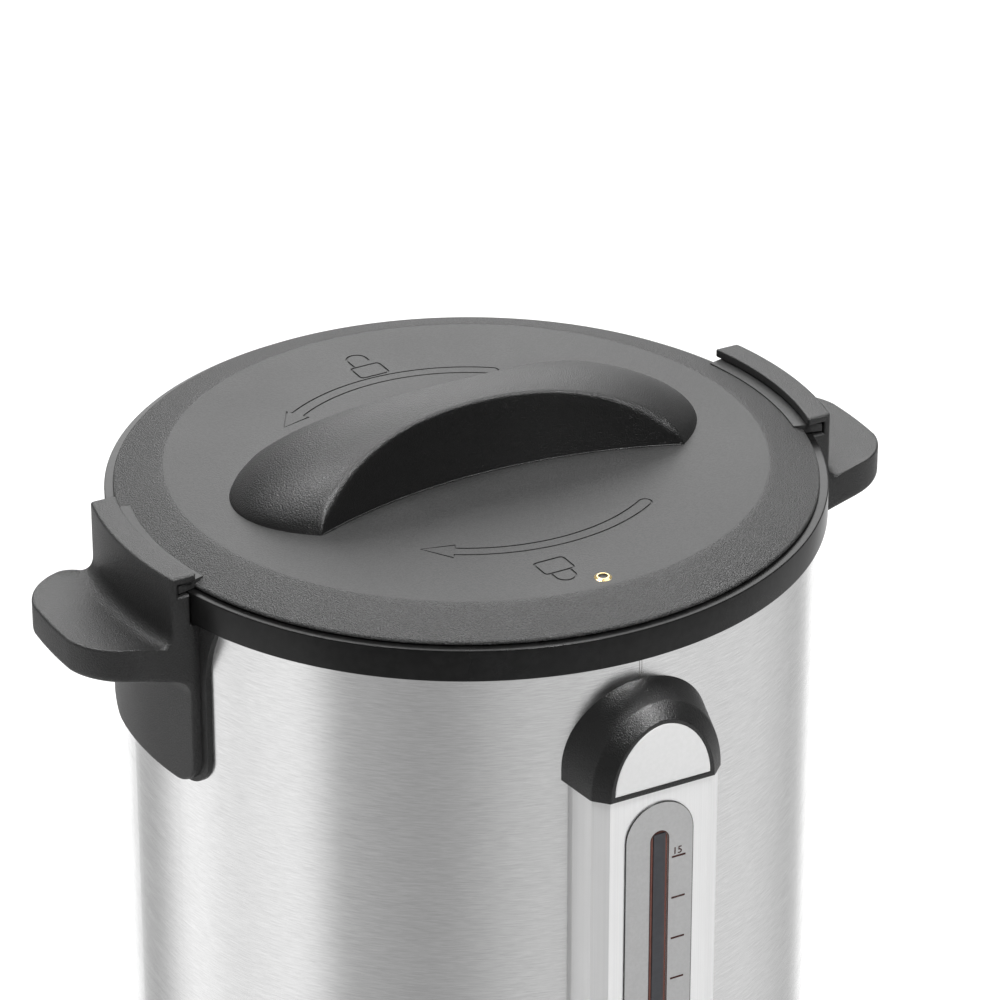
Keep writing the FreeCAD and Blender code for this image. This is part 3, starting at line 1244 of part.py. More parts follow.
def controls():
    """The rocker switch, the two lamps and the mains inlet, each on its flat in the skirt."""
    angles = panel_places()
    level = PANEL_LEVEL
    face = PANEL_FACE
    wide = SWITCH_WIDE
    tall = SWITCH_TALL
    pivot = ROCKER_PIVOT
    bezel = block("switch_frame", (-wide, -face - S.switch_bezel, level - tall), (wide, -face, level + tall))
    slim = wide - S.switch_bezel - S.wall_fit
    low = tall - S.switch_bezel - S.wall_fit
    case = block("switch_case", (-slim, -face, level - low), (slim, S.switch_depth - face, level + low))
    pocket_x = S.rocker_half_width + S.rocker_gap
    pocket = block("switch_pocket", (-pocket_x, -face - S.switch_bezel - 1, level - ROCKER_POCKET),
                   (pocket_x, S.rocker_room - pivot, level + ROCKER_POCKET))
    bearing = rod("switch_bearing", S.trunnion_radius + S.stem_fit, 2 * (slim - S.bearing_wall),
                  (S.bearing_wall - slim, -pivot, level), "x")
    back = S.switch_depth - face
    lugs = [block("switch_lug_%d" % (sign + 1),
                  (sign * S.lug_spacing - S.lug_half_width, back, level - S.lug_half_height),
                  (sign * S.lug_spacing + S.lug_half_width, back + S.lug_length, level + S.lug_half_height))
            for sign in (-1, 1)]
    shell = cut("switch_cut", join("switch_form", bezel, case), pocket, bearing)
    node("switch_housing", spun(join("switch_whole", shell, *lugs), angles["switch"]))
    paddle = pulled("rocker", "YZ_Plane",
                    [(-pivot - out, level + S.rocker_half_height * share) for out, share in ROCKER_SIDE],
                    -S.rocker_half_width, 2 * S.rocker_half_width)
    pin_end = slim - S.bearing_wall - S.rocker_pin_gap
    pins = rod("rocker_pins", S.trunnion_radius, 2 * pin_end, (-pin_end, -pivot, level), "x")
    node("switch_rocker", spun(join("rocker_form", paddle, pins), angles["switch"]))
    for name in ("brew", "ready"):
        flange = rod(name + "_flange", LAMP_FLANGE_RADIUS, S.lamp_flange, (0, -face, level), "-y")
        barrel = rod(name + "_barrel", S.lamp_radius, S.lamp_depth, (0, -face, level), "y")
        dome = doc.addObject("Part::Sphere", name + "_dome")
        dome.Radius = float(S.lamp_radius)
        bind(dome, "Radius", S.lamp_radius)
        put(dome, (0, -face - S.lamp_flange / 2, level))
        node(name + "_lamp", spun(join(name + "_form", flange, barrel, dome), angles[name]))
    plate = block("inlet_plate", (-INLET_WIDE, -face - S.inlet_flange, level - INLET_TALL),
                  (INLET_WIDE, -face, level + INLET_TALL))
    inset = S.wall_fit
    core = block("inlet_core", (inset - INLET_BODY_WIDE, -face, level - INLET_BODY_TALL + inset),
                 (INLET_BODY_WIDE - inset, INLET_DEPTH - face, level + INLET_BODY_TALL - inset))
    mouth = block("inlet_cavity",
                  (-S.inlet_mouth_half_width, -face - S.inlet_flange - 1, level - S.inlet_mouth_half_height),
                  (S.inlet_mouth_half_width, S.inlet_mouth_depth - face - S.inlet_flange,
                   level + S.inlet_mouth_half_height))
    holes = [rod("inlet_hole_%d" % (sign + 1), HOLE, S.inlet_flange + 2,
                 (sign * INLET_SCREW_REACH, 1 - face, level), "-y") for sign in (-1, 1)]
    socket = cut("inlet_cut", join("inlet_form", plate, core), mouth, *holes)
    node("mains_inlet", spun(socket, angles["inlet"]))
    bed = S.inlet_mouth_depth - face - S.inlet_flange
    tip = bed - S.inlet_mouth_depth + S.blade_width
    places = ((-S.blade_spacing, -S.blade_offset), (S.blade_spacing, -S.blade_offset),
              (Dim(0, "0"), S.blade_offset))
    blades = []
    for i, (x, z) in enumerate(places):
        blades.append(block("blade_%d" % i, (x - S.blade_width / 2, tip, level + z - S.blade_height / 2),
                            (x + S.blade_width / 2, bed, level + z + S.blade_height / 2)))
    node("inlet_blades", spun(bundle("blade_set", blades), angles["inlet"]))
    node("inlet_screws", spun(bundle("inlet_screw_set", [
        screw("inlet_screw_%d" % (sign + 1), (sign * INLET_SCREW_REACH, -face - S.inlet_flange, level), "y",
              S.screw_bite) for sign in (-1, 1)]), angles["inlet"]))


def heater():
    """The heater under the tank's floor, its two thermostats on a strap, and the terminal block."""
    under = TANK_FLOOR - S.tank_wall
    low = under - S.heater_plate_wall
    node("heater_plate", rod("heater_disc", S.heater_radius, S.heater_plate_wall, (0, 0, low)))
    axis = low - S.element_tube
    loop = doc.addObject("Part::Torus", "element_loop")
    loop.Radius1 = float(S.element_radius)
    loop.Radius2 = float(S.element_tube)
    loop.Angle3 = float(S.element_sweep)
    bind(loop, "Radius1", S.element_radius)
    bind(loop, "Radius2", S.element_tube)
    bind(loop, "Angle3", S.element_sweep)
    put(loop, (0, 0, axis))
    parts = [loop]
    for name, angle in (("start", Dim(0, "0")), ("end", S.element_sweep)):
        ball = doc.addObject("Part::Sphere", "element_ball_" + name)
        ball.Radius = float(S.element_tube)
        bind(ball, "Radius", S.element_tube)
        put(ball, (S.element_radius, 0, axis))
        leg = rod("element_leg_" + name, S.element_tube, S.element_drop,
                  (S.element_radius, 0, axis - S.element_drop))
        parts.append(spun_copy("element_" + name, join("element_end_" + name, ball, leg), angle))
    node("heater_element", spun(join("element_form", *parts), 90 + (360 - S.element_sweep) / 2))
    bottom = low - S.thermostat_height
    for name, sign in (("warm_thermostat", -1), ("safety_cutout", 1)):
        at = sign * S.thermostat_reach
        can = rod(name + "_can", S.thermostat_radius, S.thermostat_height, (at, 0, bottom))
        ear = S.thermostat_radius + S.ear_length
        ears = block(name + "_ears", (at - S.ear_half_width, -ear, bottom + S.ear_wall),
                     (at + S.ear_half_width, ear, bottom + 2 * S.ear_wall))
        node(name, join(name + "_form", can, ears))
    strap = block("strap_bar", (-S.strap_half_length, -S.strap_half_width, bottom - S.strap_wall),
                  (S.strap_half_length, S.strap_half_width, bottom))
    studs = [rod("strap_stud_%d" % (sign + 1), S.stud_radius, S.thermostat_height + S.strap_wall,
                 (sign * (S.strap_half_length - S.stud_inset), 0, bottom - S.strap_wall)) for sign in (-1, 1)]
    node("thermostat_strap", join("strap_form", strap, *studs))
    x = 0 - S.heater_radius
    y = S.terminal_width
    base = S.base_floor
    brick = block("terminal_brick", (x, y, base),
                  (x + S.terminal_length, y + S.terminal_width, base + S.terminal_height))
    wells = [rod("terminal_well_%d" % i, S.terminal_well, S.terminal_height / 2 + 1,
                 (x + S.terminal_length * share, y + S.terminal_width / 2, base + S.terminal_height / 2))
             for i, share in enumerate((1 / 6, 1 / 2, 5 / 6))]
    node("terminal_block", cut("terminal_cut", brick, *wells))


def percolator():
    """The riser on its bell, the loose pump washer, the filter basket and its cover."""
    floor = TANK_FLOOR
    bell = S.bell_radius
    tube = S.riser_radius
    inner = tube - S.riser_wall
    neck = floor + S.bell_height + S.bell_skirt
    seat = BASKET_FLOOR
    mouth = bell - S.riser_wall
    blend = S.riser_blend
    node("riser_tube", turned("riser", [
        (mouth, floor), (bell, floor), (bell, floor + S.bell_skirt), (tube + blend, neck - blend),
        (tube, neck), (tube, seat - 2 * blend), (RISER_COLLAR, seat - blend), (RISER_COLLAR, seat),
        (tube, seat), (tube, RISER_TOP), (inner, RISER_TOP), (inner, neck - blend),
        (mouth, floor + S.bell_skirt - S.riser_wall)]))
    low = neck
    node("pump_washer", turned("washer_disc", [
        (tube + S.basket_fit, low), (S.pump_washer_radius, low),
        (S.pump_washer_radius, low + S.pump_washer_wall), (tube + S.basket_fit, low + S.pump_washer_wall)]))
    hole = tube + S.basket_fit
    sleeve = hole + S.basket_wall
    rim = BASKET_FLOOR + S.basket_height
    wall = S.basket_radius - S.basket_wall
    pan = turned("basket", [
        (hole, seat), (S.basket_radius, seat), (S.basket_radius, rim), (wall, rim),
        (wall, seat + S.basket_wall), (sleeve, seat + S.basket_wall), (sleeve, seat + S.basket_sleeve),
        (hole, seat + S.basket_sleeve)])
    node("filter_basket", cut("basket_cut", pan, perforations("basket_holes", seat, sleeve)))
    edge = S.basket_radius + S.basket_fit
    lid = turned("cover", [
        (hole, rim), (edge, rim), (edge, rim - S.cover_rim), (edge + S.basket_wall, rim - S.cover_rim),
        (edge + S.basket_wall, rim + S.basket_wall), (hole, rim + S.basket_wall)])
    node("basket_cover", cut("cover_holes_cut", lid, perforations("cover_holes", rim, sleeve)))


def perforations(name, level, inside):
    """Small holes in even rings through a thin floor, from its sleeve to the basket's wall."""
    radius = float(S.perforation_radius)
    pitch = float(S.perforation_pitch)
    first = float(inside) + pitch
    rings = int((float(S.basket_radius - S.basket_wall) - pitch / 2 - first) / pitch) + 1
    pins = []
    for i in range(rings):
        circle = first + i * pitch
        for x, y in around(circle, 2 * math.pi * circle / (PERFORATION_STEP * pitch)):
            pins.append(Part.makeCylinder(radius, 2 * float(S.basket_wall) + 2,
                                          Vector(x, y, float(level) - 1)))
    return made(name, Part.makeCompound(pins))


def check_everything():
    """Stops if a feature failed or a finished piece isn't a sound solid."""
    for thing in doc.Objects:
        if "Invalid" in thing.State or "Error" in thing.State:
            raise RuntimeError("%s (%s) failed: %s" % (thing.Name, thing.Label, thing.State))
    for thing in NODES:
        shape = thing.Shape
        if shape.isNull() or not shape.isValid() or not shape.Solids:
            raise RuntimeError("%s isn't a sound solid" % thing.Label)


base_shell()
base_bottom()
outer_shell()
inner_tank()
rim_ring()
side_handle()
lid_shell()
lid_handle()
lid_inside()
sight_hood(gauge())
tap()
controls()
heater()
percolator()
doc.recompute()
check_everything()
os.makedirs("parts", exist_ok=True)
for piece in NODES:
    piece.Shape.exportStep(os.path.join("parts", piece.Label + ".step"))
    print(piece.Label, len(piece.Shape.Solids), round(piece.Shape.Volume))
print(len(NODES), "nodes")
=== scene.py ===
"""Looks of the coffee urn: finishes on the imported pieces, and modelled surfaces where the urn is moulded.

Shapes are worked out in millimetres on grids of two parameters and put into meshes in metres. X runs to the
right, the front is at -Y, and the axis of the urn is the Z axis.
"""
import json
import math

import bmesh
import bpy
import numpy as np
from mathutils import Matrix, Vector


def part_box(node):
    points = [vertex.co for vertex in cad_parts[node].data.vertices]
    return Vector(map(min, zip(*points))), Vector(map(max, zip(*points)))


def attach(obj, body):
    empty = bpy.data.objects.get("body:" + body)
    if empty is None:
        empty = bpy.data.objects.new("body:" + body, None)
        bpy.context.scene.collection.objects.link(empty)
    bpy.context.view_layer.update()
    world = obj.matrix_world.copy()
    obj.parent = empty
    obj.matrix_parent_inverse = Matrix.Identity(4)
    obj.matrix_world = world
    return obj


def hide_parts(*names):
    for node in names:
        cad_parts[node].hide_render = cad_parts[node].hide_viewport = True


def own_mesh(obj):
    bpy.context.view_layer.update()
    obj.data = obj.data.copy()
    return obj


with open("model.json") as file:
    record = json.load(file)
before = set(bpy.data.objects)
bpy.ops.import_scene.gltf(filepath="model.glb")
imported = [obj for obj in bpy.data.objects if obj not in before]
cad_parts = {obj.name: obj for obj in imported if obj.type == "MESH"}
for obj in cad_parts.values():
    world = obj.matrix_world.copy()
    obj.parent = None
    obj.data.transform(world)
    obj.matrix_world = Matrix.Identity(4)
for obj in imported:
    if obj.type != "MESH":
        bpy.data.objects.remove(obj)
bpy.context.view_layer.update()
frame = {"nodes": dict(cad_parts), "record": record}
NODES = frame["nodes"]

MM = 0.001
LOW, HIGH = 0, 1
X, Y, Z = 0, 1, 2


def limit(node, end, axis):
    """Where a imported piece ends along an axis, in millimetres to a hundredth."""
    return round(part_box(node)[end][axis] / MM, 2)


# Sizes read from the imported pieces
SHELL_RADIUS = limit("outer_shell", HIGH, X)
RING_FOOT = limit("rim_ring", LOW, Z)
RING_TOP = limit("rim_ring", HIGH, Z)
RING_RADIUS = limit("rim_ring", HIGH, X)
PLATEAU = limit("lid_shell", HIGH, Z)
TAB_OUTSIDE = limit("lid_shell", HIGH, X)
ARCH_LENGTH = limit("lid_handle", HIGH, X)
ARCH_RISE = round(limit("lid_handle", HIGH, Z) - PLATEAU, 2)
GRIP_REACH = limit("side_handle_right", HIGH, X)
SHIELD_DEPTH = round(RING_FOOT - limit("side_handle_right", LOW, Z), 2)
HOOD_FACE = -limit("sight_hood", LOW, Y)
SCALE_FACE = -limit("scale_plate", LOW, Y)

# The lid: radii from the axis and heights above the table
LID_RADIUS = 141.0
LID_EDGE = 475.3
LID_SEAT = 473.9
LID_HUB = 1.0
PLATEAU_RADIUS = 122.0
# Where the coarse grain with its painted glints starts.
GRAIN_AND_GLINTS_FROM = PLATEAU_RADIUS - 1.0
PLATEAU_UNDER = 478.9
SKIRT_INSIDE = 125.2
SKIRT_OUTSIDE = 127.8
SKIRT_FOOT = 465.0
SKIRT_INNER_TOP = 478.0
SKIRT_OUTER_TOP = 477.2
CONE_UNDER_RADIUS = 137.0
TAB_INSIDE = 136.6
TAB_TOP = 477.1
TAB_SLOPE = 0.2
TAB_GAP = 0.4
TAB_HALF_ANGLE = 14

# The marks engraved in the lid
MARK_DEPTH = 0.45
MARK_TOOL_TOP = 1.0
LOCK_LINE = 0.45
LOCK_HALF = 6.5
LOCK_FOOT = -8
LOCK_TOP = 2
LOCK_CORNER = 1.8
BOW_RADIUS = 4.2
BOW_CENTRE = 5.5
BOW_FOOT = 2.8
OPEN_LIFT = 3.0
OPEN_FOOT = 5.6
ARROW_LINE = 0.4
ARROW_HALF = 2.6
ARROW_HEAD_HALF = 5.2
ARROW_HEAD_ANGLE = 9.5

# The lid's handle
ARCH_FOOT = 54.6
ARCH_WAIST = 16.2
ARCH_SCOOP = 207.0
ARCH_LEAN = 0.2
ARCH_CREASE = 1.5
ARCH_CREASE_MORE = 3.5
ARCH_CREASE_FROM = 30
ARCH_CREASE_RUN = 50
ARCH_LIP = 0.4
CREASE_STEPS = 60

# The side handles: radii from the axis, and heights over the ring's foot
HANDLE_HALF = 37.0
HANDLE_EASE = 1.2
HOOK_TIP = 142.0
HOOK_TOP = 21.2
HOOK_UNDER = 17.7
POCKET_WALL = 149.3
POCKET_FLOOR = 12.8
RING_GAP_WALL = 144.7
RING_GAP_FOOT = -0.2
SHIELD_BACK = 140.05
SHIELD_FACE = 145.25
SHIELD_CORNER = 12.0
GRIP_ROOT = -26.0
GRIP_UNDER = -19.5
GRIP_TOP = -5.5
GRIP_CORNER = 27.0
WALL_FACE = 152.3
WALL_FOOT = -9.0
BACKING_HALF = 40.4
BACKING_FACE = 141.95
BACKING_BACK = 140.02
BACKING_TOP = -0.3
BACKING_SIDE_FOOT = -60
FLARE = 6.6
FLARE_HEIGHT = 24.0

# The rim ring
RING_INSIDE = 132.2
RING_SEAT = 140.2
RING_LIP = 3.5

# The hood and its plate: heights over the ring's foot, and steps out from the hood's face
BADGE_HALF = 20.9
BADGE_CENTRE = -47.95
BADGE_RISE = 26.25
BADGE_FLOOR = -48.25
BADGE_FALL = 1.06
BADGE_STEPS = (-0.8, -0.1, 0.2, 0.3)
HOOD_SINK = 0.1

# The scale: marks one litre apart under the ring's foot, and the slot's two ends above the table
LITRE_STEP = 18.5
FIRST_LITRE = 4
LAST_LITRE = 15
NUMBERED = 5
LAST_MARK = 83.3
MARK_LEFT = 5.65
MARK_RIGHT = 11.6
MARK_HALF = 0.36
MARK_THICK = 0.12
NUMBER_SIZE = 4.4
NUMBER_THICK = 0.06
NUMBER_LEFT = 5.8
NUMBER_LIFT = 1.1
PRINT_SINK = 0.05
SLOT_TOP = 386.0
SLOT_FOOT = 161.8
WINDOW_HALF = 2.6
WINDOW_SINK = 0.7
PLATE_TOP = 387.8
PLATE_FOOT = 159.0

# The seam
SEAM_PLACES = (("seam_a", -0.75), ("seam_b", 0.3))
SEAM_FOOT = 72.0
SEAM_OVER = 0.2
SEAM_WIDTH = 0.22
SEAM_OUT = 0.03
SEAM_IN = 0.1

# The floor
FLOOR_RADIUS = 6000.0
FLOOR_GAP = 0.4
FLOOR_THICK = 20.0
FLOOR_GLOW = 0.85
FLOOR_DIM = 0.7

# The camera, its lens and sensor in millimetres, and the studio's lamps, in metres
LENS = 189.57
SENSOR = 36.0
CAMERA_PLACE = (-0.88246, -1.64650, 1.44035)
CAMERA_WAY = (0.42402, 0.77771, -0.46408)
LAMPS = [("top", (1.2, 1.2), 20, (0.8, 0.35, 2.2), (0, 0, 0.3)),
         ("back", (1.6, 1.4), 25, (0.95, 2.1, 1.7), (0, 0, 0.3)),
         ("key", (0.4, 0.4), 48, (0.15, -1.2, 2.05), (0, -0.15, 0.42)),
         ("crown", (0.5, 0.5), 30, (-0.45, 0.5, 2.35), (-0.07, -0.02, 0.5))]
LIT_GREY = 0.6
BANDS_TOP = -0.4
SKY_FOOT = -0.28
SKY_REACH = 0.6
SKY_FRONT = 0.05
SKY_BACK = 0.5
WHITE = (1, 1, 1, 1)


def in_scene(name, data):
    """A new object in the scene."""
    thing = bpy.data.objects.new(name, data)
    bpy.context.scene.collection.objects.link(thing)
    return thing


def facing(way):
    """The turn of a camera or a lamp that looks along a way."""
    return Vector(way).to_track_quat("-Z", "Y").to_euler()


def camera():
    """The photograph's viewpoint: from the front left, 28 degrees down, through a long lens."""
    data = bpy.data.cameras.new("view")
    data.lens = LENS
    data.sensor_width = SENSOR
    data.clip_end = 20.0
    thing = in_scene("view", data)
    thing.location = CAMERA_PLACE
    thing.rotation_euler = facing(CAMERA_WAY)
    bpy.context.scene.camera = thing


def lamp(name, size, power, place, aim):
    """A soft rectangular studio light that looks at the urn."""
    data = bpy.data.lights.new(name, "AREA")
    data.shape = "RECTANGLE"
    data.size, data.size_y = size
    data.energy = power
    thing = in_scene(name, data)
    thing.location = place
    thing.rotation_euler = facing(Vector(aim) - Vector(place))


# Meshes from arrays of points


def shaded(mesh, angle):
    """Smooths a mesh's shading, but for edges sharper than an angle in degrees."""
    mesh.shade_smooth()
    mesh.set_sharp_from_angle(angle=math.radians(angle))


def new_piece(name, points, faces, material, body=None, slot=None, smooth=35):
    """A mesh object in metres from points in millimetres, its faces outwards, riding on a body of the urn."""
    mesh = bpy.data.meshes.new(name)
    mesh.from_pydata((np.asarray(points, float) * MM).tolist(), [], [list(face) for face in faces])
    skin = bmesh.new()
    skin.from_mesh(mesh)
    bmesh.ops.recalc_face_normals(skin, faces=skin.faces)
    skin.to_mesh(mesh)
    skin.free()
    shaded(mesh, smooth)
    mesh.materials.append(material)
    thing = in_scene(name, mesh)
    if body:
        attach(thing, body)
    return thing


def grid_faces(rows, columns, closed=False):
    """Faces of a grid of points whose columns join up; closed joins the last row to the first too."""
    row = np.arange(rows if closed else rows - 1)[:, None]
    low = row * columns
    high = (row + 1) % rows * columns
    step = np.arange(columns)
    after = (step + 1) % columns
    return np.stack([low + step, low + after, high + after, high + step], -1).reshape(-1, 4).tolist()


def tube(sections):
    """A closed skin through rings of points, shape (sections, ring, 3), with both ends capped."""
    rows, columns = sections.shape[:2]
    faces = grid_faces(rows, columns)
    faces.append(list(range(columns))[::-1])
    faces.append([(rows - 1) * columns + i for i in range(columns)])
    return sections.reshape(-1, 3), faces


def loop_skin(sections):
    """A closed skin through rings of points that come back to the first ring."""
    rows, columns = sections.shape[:2]
    return sections.reshape(-1, 3), grid_faces(rows, columns, True)


def joined(*parts):
    """Several sets of points and faces as one."""
    points, faces, start = [], [], 0
    for spots, loops in parts:
        points.append(spots)
        faces += [[i + start for i in loop] for loop in loops]
        start += len(spots)
    return np.concatenate(points), faces


def polar(radius, degrees):
    """Points at a radius and an angle about the urn's axis: (radius cos, radius sin)."""
    angle = np.radians(degrees)
    return np.stack([radius * np.cos(angle), radius * np.sin(angle)], -1)


def lathe(profile, closed=False, steps=288):
    """A profile of (radius, height) points turned about the axis; an open one is capped at both ends."""
    turn = np.linspace(0, 2 * np.pi, steps, endpoint=False)
    profile = np.asarray(profile, float)[:, :, None]
    radius, height = profile[:, 0], profile[:, 1] + 0 * turn
    rings = np.stack([radius * np.cos(turn), radius * np.sin(turn), height], -1)
    return loop_skin(rings) if closed else tube(rings)


def bent(first, corner, last, t):
    """A parabola through two points, pulled by a corner: (1-t)^2 first + 2t(1-t) corner + t^2 last."""
    return (1 - t) ** 2 * first + 2 * t * (1 - t) * corner + t ** 2 * last


def soft_corners(points, cuts, count=5):
    """A closed polygon, one point along the last axis, its corners parabolas that start a cut away."""
    points = np.asarray(points, float)
    cuts = np.asarray(cuts, float)[..., None]
    before = np.roll(points, 1, -2) - points
    after = np.roll(points, -1, -2) - points
    first = points + before / np.linalg.norm(before, axis=-1, keepdims=True) * cuts
    last = points + after / np.linalg.norm(after, axis=-1, keepdims=True) * cuts
    t = np.linspace(0, 1, count)[:, None]
    curve = bent(first[..., None, :], points[..., None, :], last[..., None, :], t)
    return curve.reshape(curve.shape[:-3] + (-1, points.shape[-1]))


def mitred(points, amount):
    """A closed polygon, anticlockwise, with each side moved inwards by an amount."""
    along = np.roll(points, -1, -2) - points
    along = along / np.linalg.norm(along, axis=-1, keepdims=True)
    after = np.stack([-along[..., 1], along[..., 0]], -1)
    before = np.roll(after, 1, -2)
    return points + amount * (before + after) / (1 + (before * after).sum(-1, keepdims=True))


def fall_back(past, radius):
    """How far a round corner has drawn in, a distance past its start: radius - sqrt(radius^2 - past^2)."""
    return radius - np.sqrt(radius ** 2 - np.clip(past, 0, radius) ** 2)


def ribbon(path, half, low, high, closed=True):
    """A wall along a flat path: each point moved half a width to both sides, from low to high."""
    path = np.asarray(path, float)
    if closed:
        along = np.roll(path, -1, 0) - np.roll(path, 1, 0)
    else:
        along = np.gradient(path, axis=0)
    along /= np.linalg.norm(along, axis=-1, keepdims=True)
    side = np.stack([along[:, 1], -along[:, 0]], -1) * half
    right, left = path + side, path - side
    none = np.zeros(len(path))
    loop = np.stack([np.c_[right, none + low], np.c_[right, none + high],
                     np.c_[left, none + high], np.c_[left, none + low]], 1)
    return loop_skin(loop) if closed else tube(loop)


def settled(thing):
    """A mesh of an object as its modifiers or its text settings leave it."""
    return bpy.data.meshes.new_from_object(thing.evaluated_get(bpy.context.evaluated_depsgraph_get()))


def carve(thing, tool):
    """Takes a tool solid out of a piece, and throws the tool away."""
    material = thing.data.materials[0]
    cut = thing.modifiers.new("cut", "BOOLEAN")
    cut.operation = "DIFFERENCE"
    cut.solver = "EXACT"
    cut.use_self = True
    cut.object = tool
    mesh = settled(thing)
    thing.modifiers.clear()
    thing.data = mesh
    mesh.materials.clear()
    mesh.materials.append(material)
    shaded(mesh, angle=30)
    bpy.data.objects.remove(tool)


# Shader node groups


def wire(tree, kind, *links, **values):
    """Adds a node: links are (socket, source) pairs, and values set its own properties."""
    made = tree.nodes.new("ShaderNode" + kind)
    for label, value in values.items():
        setattr(made, label, value)
    for label, source in links:
        if isinstance(source, bpy.types.NodeSocket):
            tree.links.new(source, made.inputs[label])
        else:
            made.inputs[label].default_value = source
    return made


def sums(tree, operation, a, b=0.0, clamp=False):
    """One arithmetic step on values."""
    return wire(tree, "Math", (0, a), (1, b), operation=operation, use_clamp=clamp).outputs[0]


def spread(tree, value, low, high, *links):
    """A value from low to high spread over 0 to 1, or over the limits that further links give."""
    return wire(tree, "MapRange", ("Value", value), ("From Min", low), ("From Max", high), *links).outputs[0]


def noise(tree, spot, scale, detail, *links):
    """Smooth noise over a vector."""
    return wire(tree, "TexNoise", ("Vector", spot), ("Scale", scale), ("Detail", detail), *links).outputs[0]


def blend(tree, share, first, second):
    """A colour between two, by a share."""
    return wire(tree, "Mix", (0, share), (6, first), (7, second), data_type="RGBA").outputs[2]


def grain_group(name, inputs):
    """An empty shader group with inputs (name, kind, value), for a colour, a roughness and a height."""
    tree = bpy.data.node_groups.new(name, "ShaderNodeTree")
    for label, kind, value in inputs:
        made = tree.interface.new_socket(name=label, in_out="INPUT", socket_type="NodeSocket" + kind)
        made.default_value = value
    for label, kind in (("Color", "Color"), ("Roughness", "Float"), ("Height", "Float")):
        tree.interface.new_socket(name=label, in_out="OUTPUT", socket_type="NodeSocket" + kind)
    start = tree.nodes.new("NodeGroupInput")
    end = tree.nodes.new("NodeGroupOutput")
    return tree, start.outputs, end.inputs


def close_group(tree, given, out, tone, height, patch, duller):
    """Ends a group: the tone blends its two colours, and the patches make it duller."""
    rough = sums(tree, "ADD", given["Roughness"], sums(tree, "MULTIPLY", patch, duller))
    tree.links.new(blend(tree, tone, given["Dark"], given["Pale"]), out["Color"])
    tree.links.new(rough, out["Roughness"])
    tree.links.new(height, out["Height"])
    return tree


def moulded_group():
    """Spark-eroded plastic: fine pebbles, and slow patches where the surface is a little paler and duller."""
    tree, given, out = grain_group("moulded grain", [
        ("Dark", "Color", (0.02, 0.02, 0.02, 1)), ("Pale", "Color", (0.05, 0.05, 0.05, 1)),
        ("Pebbles per metre", "Float", 900.0), ("Roughness", "Float", 0.5)])
    spot = wire(tree, "TexCoord").outputs["Object"]
    grain = noise(tree, spot, given["Pebbles per metre"], 2.0, ("Roughness", 0.6))
    patch = noise(tree, spot, 18.0, 3.0)
    crisp = spread(tree, grain, 0.36, 0.64)
    tone = sums(tree, "ADD", sums(tree, "MULTIPLY", crisp, 0.8), sums(tree, "MULTIPLY", patch, 0.4), True)
    return close_group(tree, given, out, tone, crisp, patch, 0.12)


def brushed_group():
    """Brushed metal: hair lines that are long one way and fine the other, by the scale along each axis."""
    tree, given, out = grain_group("brushed lines", [
        ("Dark", "Color", (0.5, 0.5, 0.5, 1)), ("Pale", "Color", (0.7, 0.7, 0.7, 1)),
        ("Lines", "Vector", (6.0, 6.0, 1400.0)), ("Roughness", "Float", 0.28)])
    spot = wire(tree, "TexCoord").outputs["Object"]
    drawn = wire(tree, "VectorMath", (0, spot), (1, given["Lines"]), operation="MULTIPLY").outputs[0]
    slow = wire(tree, "VectorMath", (0, drawn), (1, (0.3, 0.3, 0.1)), operation="MULTIPLY").outputs[0]
    fine = noise(tree, drawn, 1.0, 4.0, ("Roughness", 0.7))
    bands = noise(tree, slow, 1.0, 2.0)
    mixed = sums(tree, "ADD", sums(tree, "MULTIPLY", fine, 0.85), sums(tree, "MULTIPLY", bands, 0.15))
    tone = spread(tree, mixed, 0.32, 0.68)
    return close_group(tree, given, out, tone, tone, bands, 0.1)


MOULDED = moulded_group()
BRUSHED = brushed_group()


# Materials


def new_material(name):
    """A material, its node tree and its Principled shader."""
    material = bpy.data.materials.new(name)
    material.use_nodes = True
    return material, material.node_tree, material.node_tree.nodes["Principled BSDF"]


def finish(name, group, values, bump, metallic, gloss=0.5):
    """A material: one Principled shader whose colour, roughness and bump come from a group."""
    material, tree, shader = new_material(name)
    shader.inputs["Metallic"].default_value = metallic
    shader.inputs["Specular IOR Level"].default_value = gloss
    looks = wire(tree, "Group", node_tree=group)
    for label, value in values.items():
        looks.inputs[label].default_value = value
    tree.links.new(looks.outputs["Color"], shader.inputs["Base Color"])
    tree.links.new(looks.outputs["Roughness"], shader.inputs["Roughness"])
    if bump:
        height = looks.outputs["Height"]
        relief = wire(tree, "Bump", ("Height", height), ("Strength", 1.0), ("Distance", bump * MM))
        tree.links.new(relief.outputs["Normal"], shader.inputs["Normal"])
    return material


def grey(level, tint=(1, 1, 1)):
    """An opaque colour of one brightness, times a tint."""
    return tuple(level * share for share in tint) + (1.0,)


def plastic(name, dark, pale, roughness, pebbles=900.0, bump=0.05, gloss=0.5):
    """A moulded plastic between two colours, its pebbles counted per metre and its bump in millimetres."""
    values = {"Dark": dark, "Pale": pale, "Roughness": roughness, "Pebbles per metre": pebbles}
    return finish(name, MOULDED, values, bump, 0.0, gloss)


def metal(name, dark, pale, roughness, lines, bump=0.01, share=1.0):
    """A metal between two colours, with its lines as counts per metre along X, Y and Z."""
    values = {"Dark": dark, "Pale": pale, "Roughness": roughness, "Lines": lines}
    return finish(name, BRUSHED, values, bump, share)


def glass():
    """The gauge tube's glass: a dull grey that lets little light through."""
    material, _, shader = new_material("clear gauge glass")
    shader.inputs["Base Color"].default_value = (0.4, 0.41, 0.45, 1)
    shader.inputs["Roughness"].default_value = 0.45
    shader.inputs["Transmission Weight"].default_value = 0.15
    shader.inputs["IOR"].default_value = 1.47
    return material


